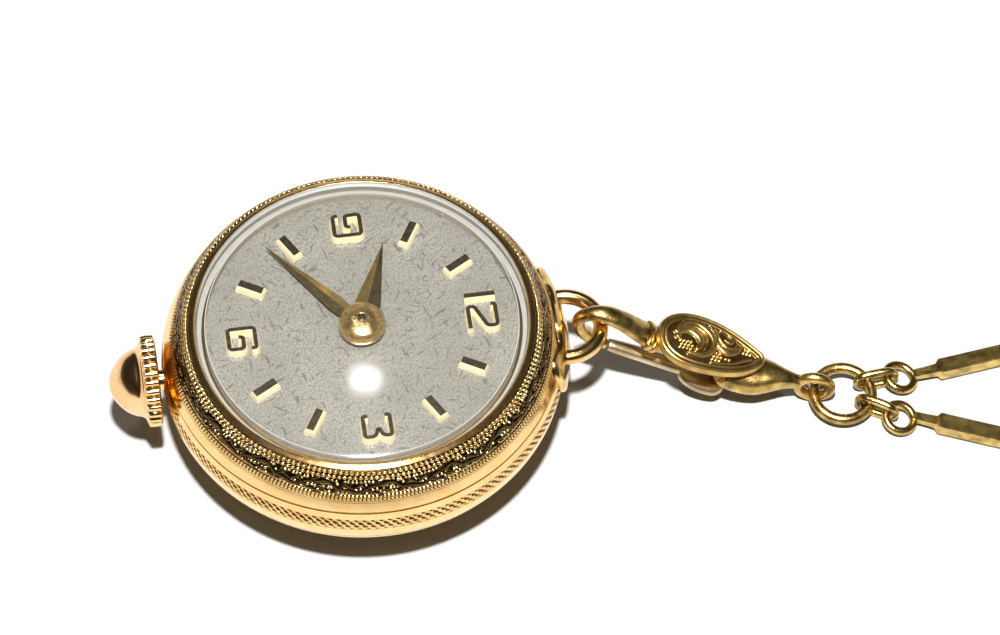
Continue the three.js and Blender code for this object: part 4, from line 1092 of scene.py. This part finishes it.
def make_gate():
    arm = swept([[1.5, -2.03, 0.3, 0.26], [1.6, -2.03, 0.44, 0.38], [4.0, -2.0, 0.54, 0.42],
        [6.9, -2.02, 0.56, 0.42], [8.0, -2.05, 0.45, 0.3]])
    tab = swept([
        [6.5, -2.1, 0.3, 0.22], [6.62, -2.1, 0.62, 0.32], [7.1, -2.13, 0.98, 0.42],
        [8.0, -2.17, 1.17, 0.48],
        [9.0, -2.15, 1.15, 0.46], [9.5, -2.09, 0.86, 0.38], [9.75, -2.05, 0.5, 0.3],
        [9.82, -2.03, 0.3, 0.2],
    ], -0.2, power=2.4)
    ear = extruded([[8.6, -2.2], [8.8, -1.85], [9.3, -1.2], [9.7, -0.75], [9.95, -0.64], [10.2, -0.66],
        [10.5, -0.85], [10.6, -1.1],
                    [10.55, -1.35], [10.3, -1.55], [10.1, -1.62], [9.4, -2.2]], -0.36, 0.36)
    points, faces = merge(arm, tab, ear)
    piece = build("clasp_gate_arm", on_clasp(points), faces, WORN, "gate")
    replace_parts(sharpen(piece, 45), "clasp_gate")


def bezier(a, b, c, d, count):
    t = np.linspace(0, 1, count, endpoint=False)[:, None]
    a, b, c, d = (np.asarray(p, float) for p in (a, b, c, d))
    return (1 - t) ** 3 * a + 3 * t * (1 - t) ** 2 * b + 3 * t * t * (1 - t) * c + t ** 3 * d


def near(points, curve):
    best = np.full(len(points), 9.0)
    where = np.zeros(len(points))
    for i in range(0, len(points), 2000):
        d = np.linalg.norm(points[i:i + 2000, None] - curve[None], axis=2)
        k = d.argmin(1)
        best[i:i + 2000] = d[np.arange(len(k)), k]
        where[i:i + 2000] = k / len(curve)
    return best, where


def make_plate():
    leaf = np.concatenate([
        bezier((3.7, 0.5), (2.2, 1.35), (0.9, 2.05), (-0.9, 2.1), 60),
        bezier((-0.9, 2.1), (-2.8, 2.1), (-3.7, 1.2), (-3.7, 0), 60),
        bezier((-3.7, 0), (-3.7, -1.2), (-2.8, -2.1), (-0.9, -2.1), 60),
        bezier((-0.9, -2.1), (1.2, -2.1), (2.8, -1.6), (3.75, -0.6), 60),
        bezier((3.75, -0.6), (4.05, -0.2), (4.0, 0.3), (3.7, 0.5), 24),
    ])
    middle = np.array([-0.2, 0.0])
    rings = np.concatenate([np.linspace(0.004, 0.9, 74), np.linspace(0.91, 1.0, 12)])
    flat = (middle + rings[:, None, None] * (leaf - middle)[None]).reshape(-1, 2)
    rho = np.repeat(rings, len(leaf))
    dome = 0.95 + 0.22 * (1 - rho ** 2)
    edge_distance, _ = near(flat, leaf)
    rim = np.exp(-((edge_distance - 0.20) / 0.13) ** 2) + 0.55 * np.exp(-((edge_distance - 0.52) / 0.07) ** 2)
    field = np.clip((edge_distance - 0.60) / 0.08, 0, 1)
    relief, ridge_map = np.zeros(len(flat)), np.zeros(len(flat))
    curves = [
        ([(-1.5, -1.0), (-0.7, -0.98), (-0.02, -0.55), (0.22, 0.15), (-0.15, 0.92), (-1.0, 1.36),
        (-1.95, 1.12), (-2.5, 0.4)], 0.24),
        ([(-2.35, 0.05), (-2.15, 0.55), (-1.55, 0.75), (-0.9, 0.42), (-0.72, -0.15), (-0.98, -0.62)], 0.30),
        ([(-2.0, 0.85), (-1.2, 1.02), (-0.55, 0.68), (-0.3, 0.05), (-0.5, -0.55)], 0.09),
        ([(-0.05, 1.30), (0.3, 0.75), (0.55, 0.05), (1.1, -0.35), (1.8, -0.12), (2.15, 0.45)], 0.20),
        ([(0.35, 1.12), (0.62, 0.5), (1.05, 0.05), (1.6, 0.1), (1.85, 0.55)], 0.12),
        ([(0.7, 1.28), (1.25, 1.18), (1.55, 0.82), (1.35, 0.48), (0.98, 0.55)], 0.20),
        ([(0.0, -1.35), (1.1, -1.22), (2.1, -0.75), (2.9, -0.35)], 0.13),
    ]
    for corners, half in curves:
        curve = smooth_profile(corners, 14)
        distance, where = near(flat, curve)
        half = half * (0.45 + 0.55 * np.sin(pi * np.clip(0.12 + 0.80 * where, 0, 1)))
        ridge = np.clip(1 - (distance / half) ** 2, 0, None)
        groove = np.clip(1 - (distance / (0.25 * half)) ** 2, 0, None)
        relief = np.maximum(relief, ridge)
        ridge_map = np.maximum(ridge_map, ridge - 0.5 * groove)
    beads = np.zeros(len(flat))
    for cx, cy, nx, ny, size in ((-1.75, -0.42, 4, 3, 0.25), (0.75, 1.42, 4, 1, 0.25),
        (0.42, -0.78, 3, 3, 0.25), (2.62, 0.30, 3, 3, 0.25),
                                 (-0.5, 1.45, 3, 1, 0.3), (1.25, -0.78, 2, 1, 0.25)):
        for i in range(nx):
            for j in range(ny):
                at = np.array([cx + (i - (nx - 1) / 2) * size + 0.11 * (j % 2),
                    cy + (j - (ny - 1) / 2) * size])
                d = np.linalg.norm(flat - at, axis=1)
                beads = np.maximum(beads, np.sqrt(np.clip(1 - (d / 0.105) ** 2, 0, None)) * (relief < 0.05))
    work = field * (0.19 * np.sqrt(relief) - 0.05 * np.clip(relief - ridge_map, 0, 1) + 0.11 * beads)
    fall = np.clip(edge_distance / 0.09, 0, 1)
    top = 0.72 + (dome - 0.72) * np.sqrt(fall) + 0.10 * rim * fall - 0.14 * field + work
    # painted shade: darker in the field between the ridges and beads, and in two grooves near the rim
    dark = 1 - field * np.clip(0.62 - 1.1 * np.sqrt(np.clip(ridge_map, 0, 1)) - 1.3 * beads, 0, 1)
    dark *= 1 - 0.6 * np.exp(-((edge_distance - 0.36) / 0.05) ** 2)
    dark *= 1 - 0.6 * np.exp(-((edge_distance - 0.62) / 0.05) ** 2)
    columns = len(leaf)
    points = np.column_stack([flat, top])
    wall = np.column_stack([leaf, np.full(columns, 0.62)])
    under = np.column_stack([middle + 0.6 * (leaf - middle), np.full(columns, 0.3)])
    centre = np.array([[*middle, 0.3], [*middle, top[0]]])
    points = np.concatenate([points, wall, under, centre])
    rows = len(rings) + 2
    faces = grid_faces(rows, columns)
    last = rows * columns
    faces += [((rows - 1) * columns + j, (rows - 1) * columns + (j + 1) % columns,
        last) for j in range(columns)]
    faces += [((j + 1) % columns, j, last + 1) for j in range(columns)]
    # painted shade on the plate's wall
    colours = np.concatenate([dark, np.full(columns, 0.6), np.ones(columns), [1, 1]])
    turn = radians(3)
    c, s_ = cos(turn), sin(turn)
    xy = points[:, :2] @ np.array([[c, s_], [-s_, c]]) + np.array([7.3, 0.1])
    local = np.column_stack([xy, points[:, 2] + 0.22])
    piece = build("clasp_scroll_plate", on_clasp(local), faces, RELIEF, "clasp", colours=colours)
    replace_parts(sharpen(piece, 60), "clasp_plate")


make_clasp_body()
make_gate()
make_plate()
jump = torus("jump_ring_wire", (31.15, -3.85, 1.05), 1.93, 0, 0.36, -16, 3, 4.5, AGED)
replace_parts(jump, "jump_ring")

# ---- carried-over pieces

CARRIED = [
    (BRASS, "casing_ring mainspring_barrel centre_wheel third_wheel fourth_wheel balance_wheel "
     "minute_wheel hour_wheel"),
    (NICKEL, "main_plate barrel_bridge train_bridge pallet_bridge balance_cock"),
    (RUBY, "escape_jewel_lower escape_jewel_upper balance_jewel_lower balance_jewel_upper"),
    (BLUED, "barrel_bridge_screw_a barrel_bridge_screw_b train_bridge_screw balance_cock_screw "
     "hairspring click_spring"),
    (STEEL, "mainspring barrel_arbor escape_wheel pallet_fork cannon_pinion setting_wheel "
     "winding_stem winding_pinion sliding_pinion setting_lever crown_wheel ratchet_wheel "
     "click clasp_spring"),
]
for material, nodes in CARRIED:
    for node in nodes.split():
        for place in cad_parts[node].material_slots:
            place.link = "OBJECT"
            place.material = material

# ---- update the scene

bpy.context.view_layer.update()
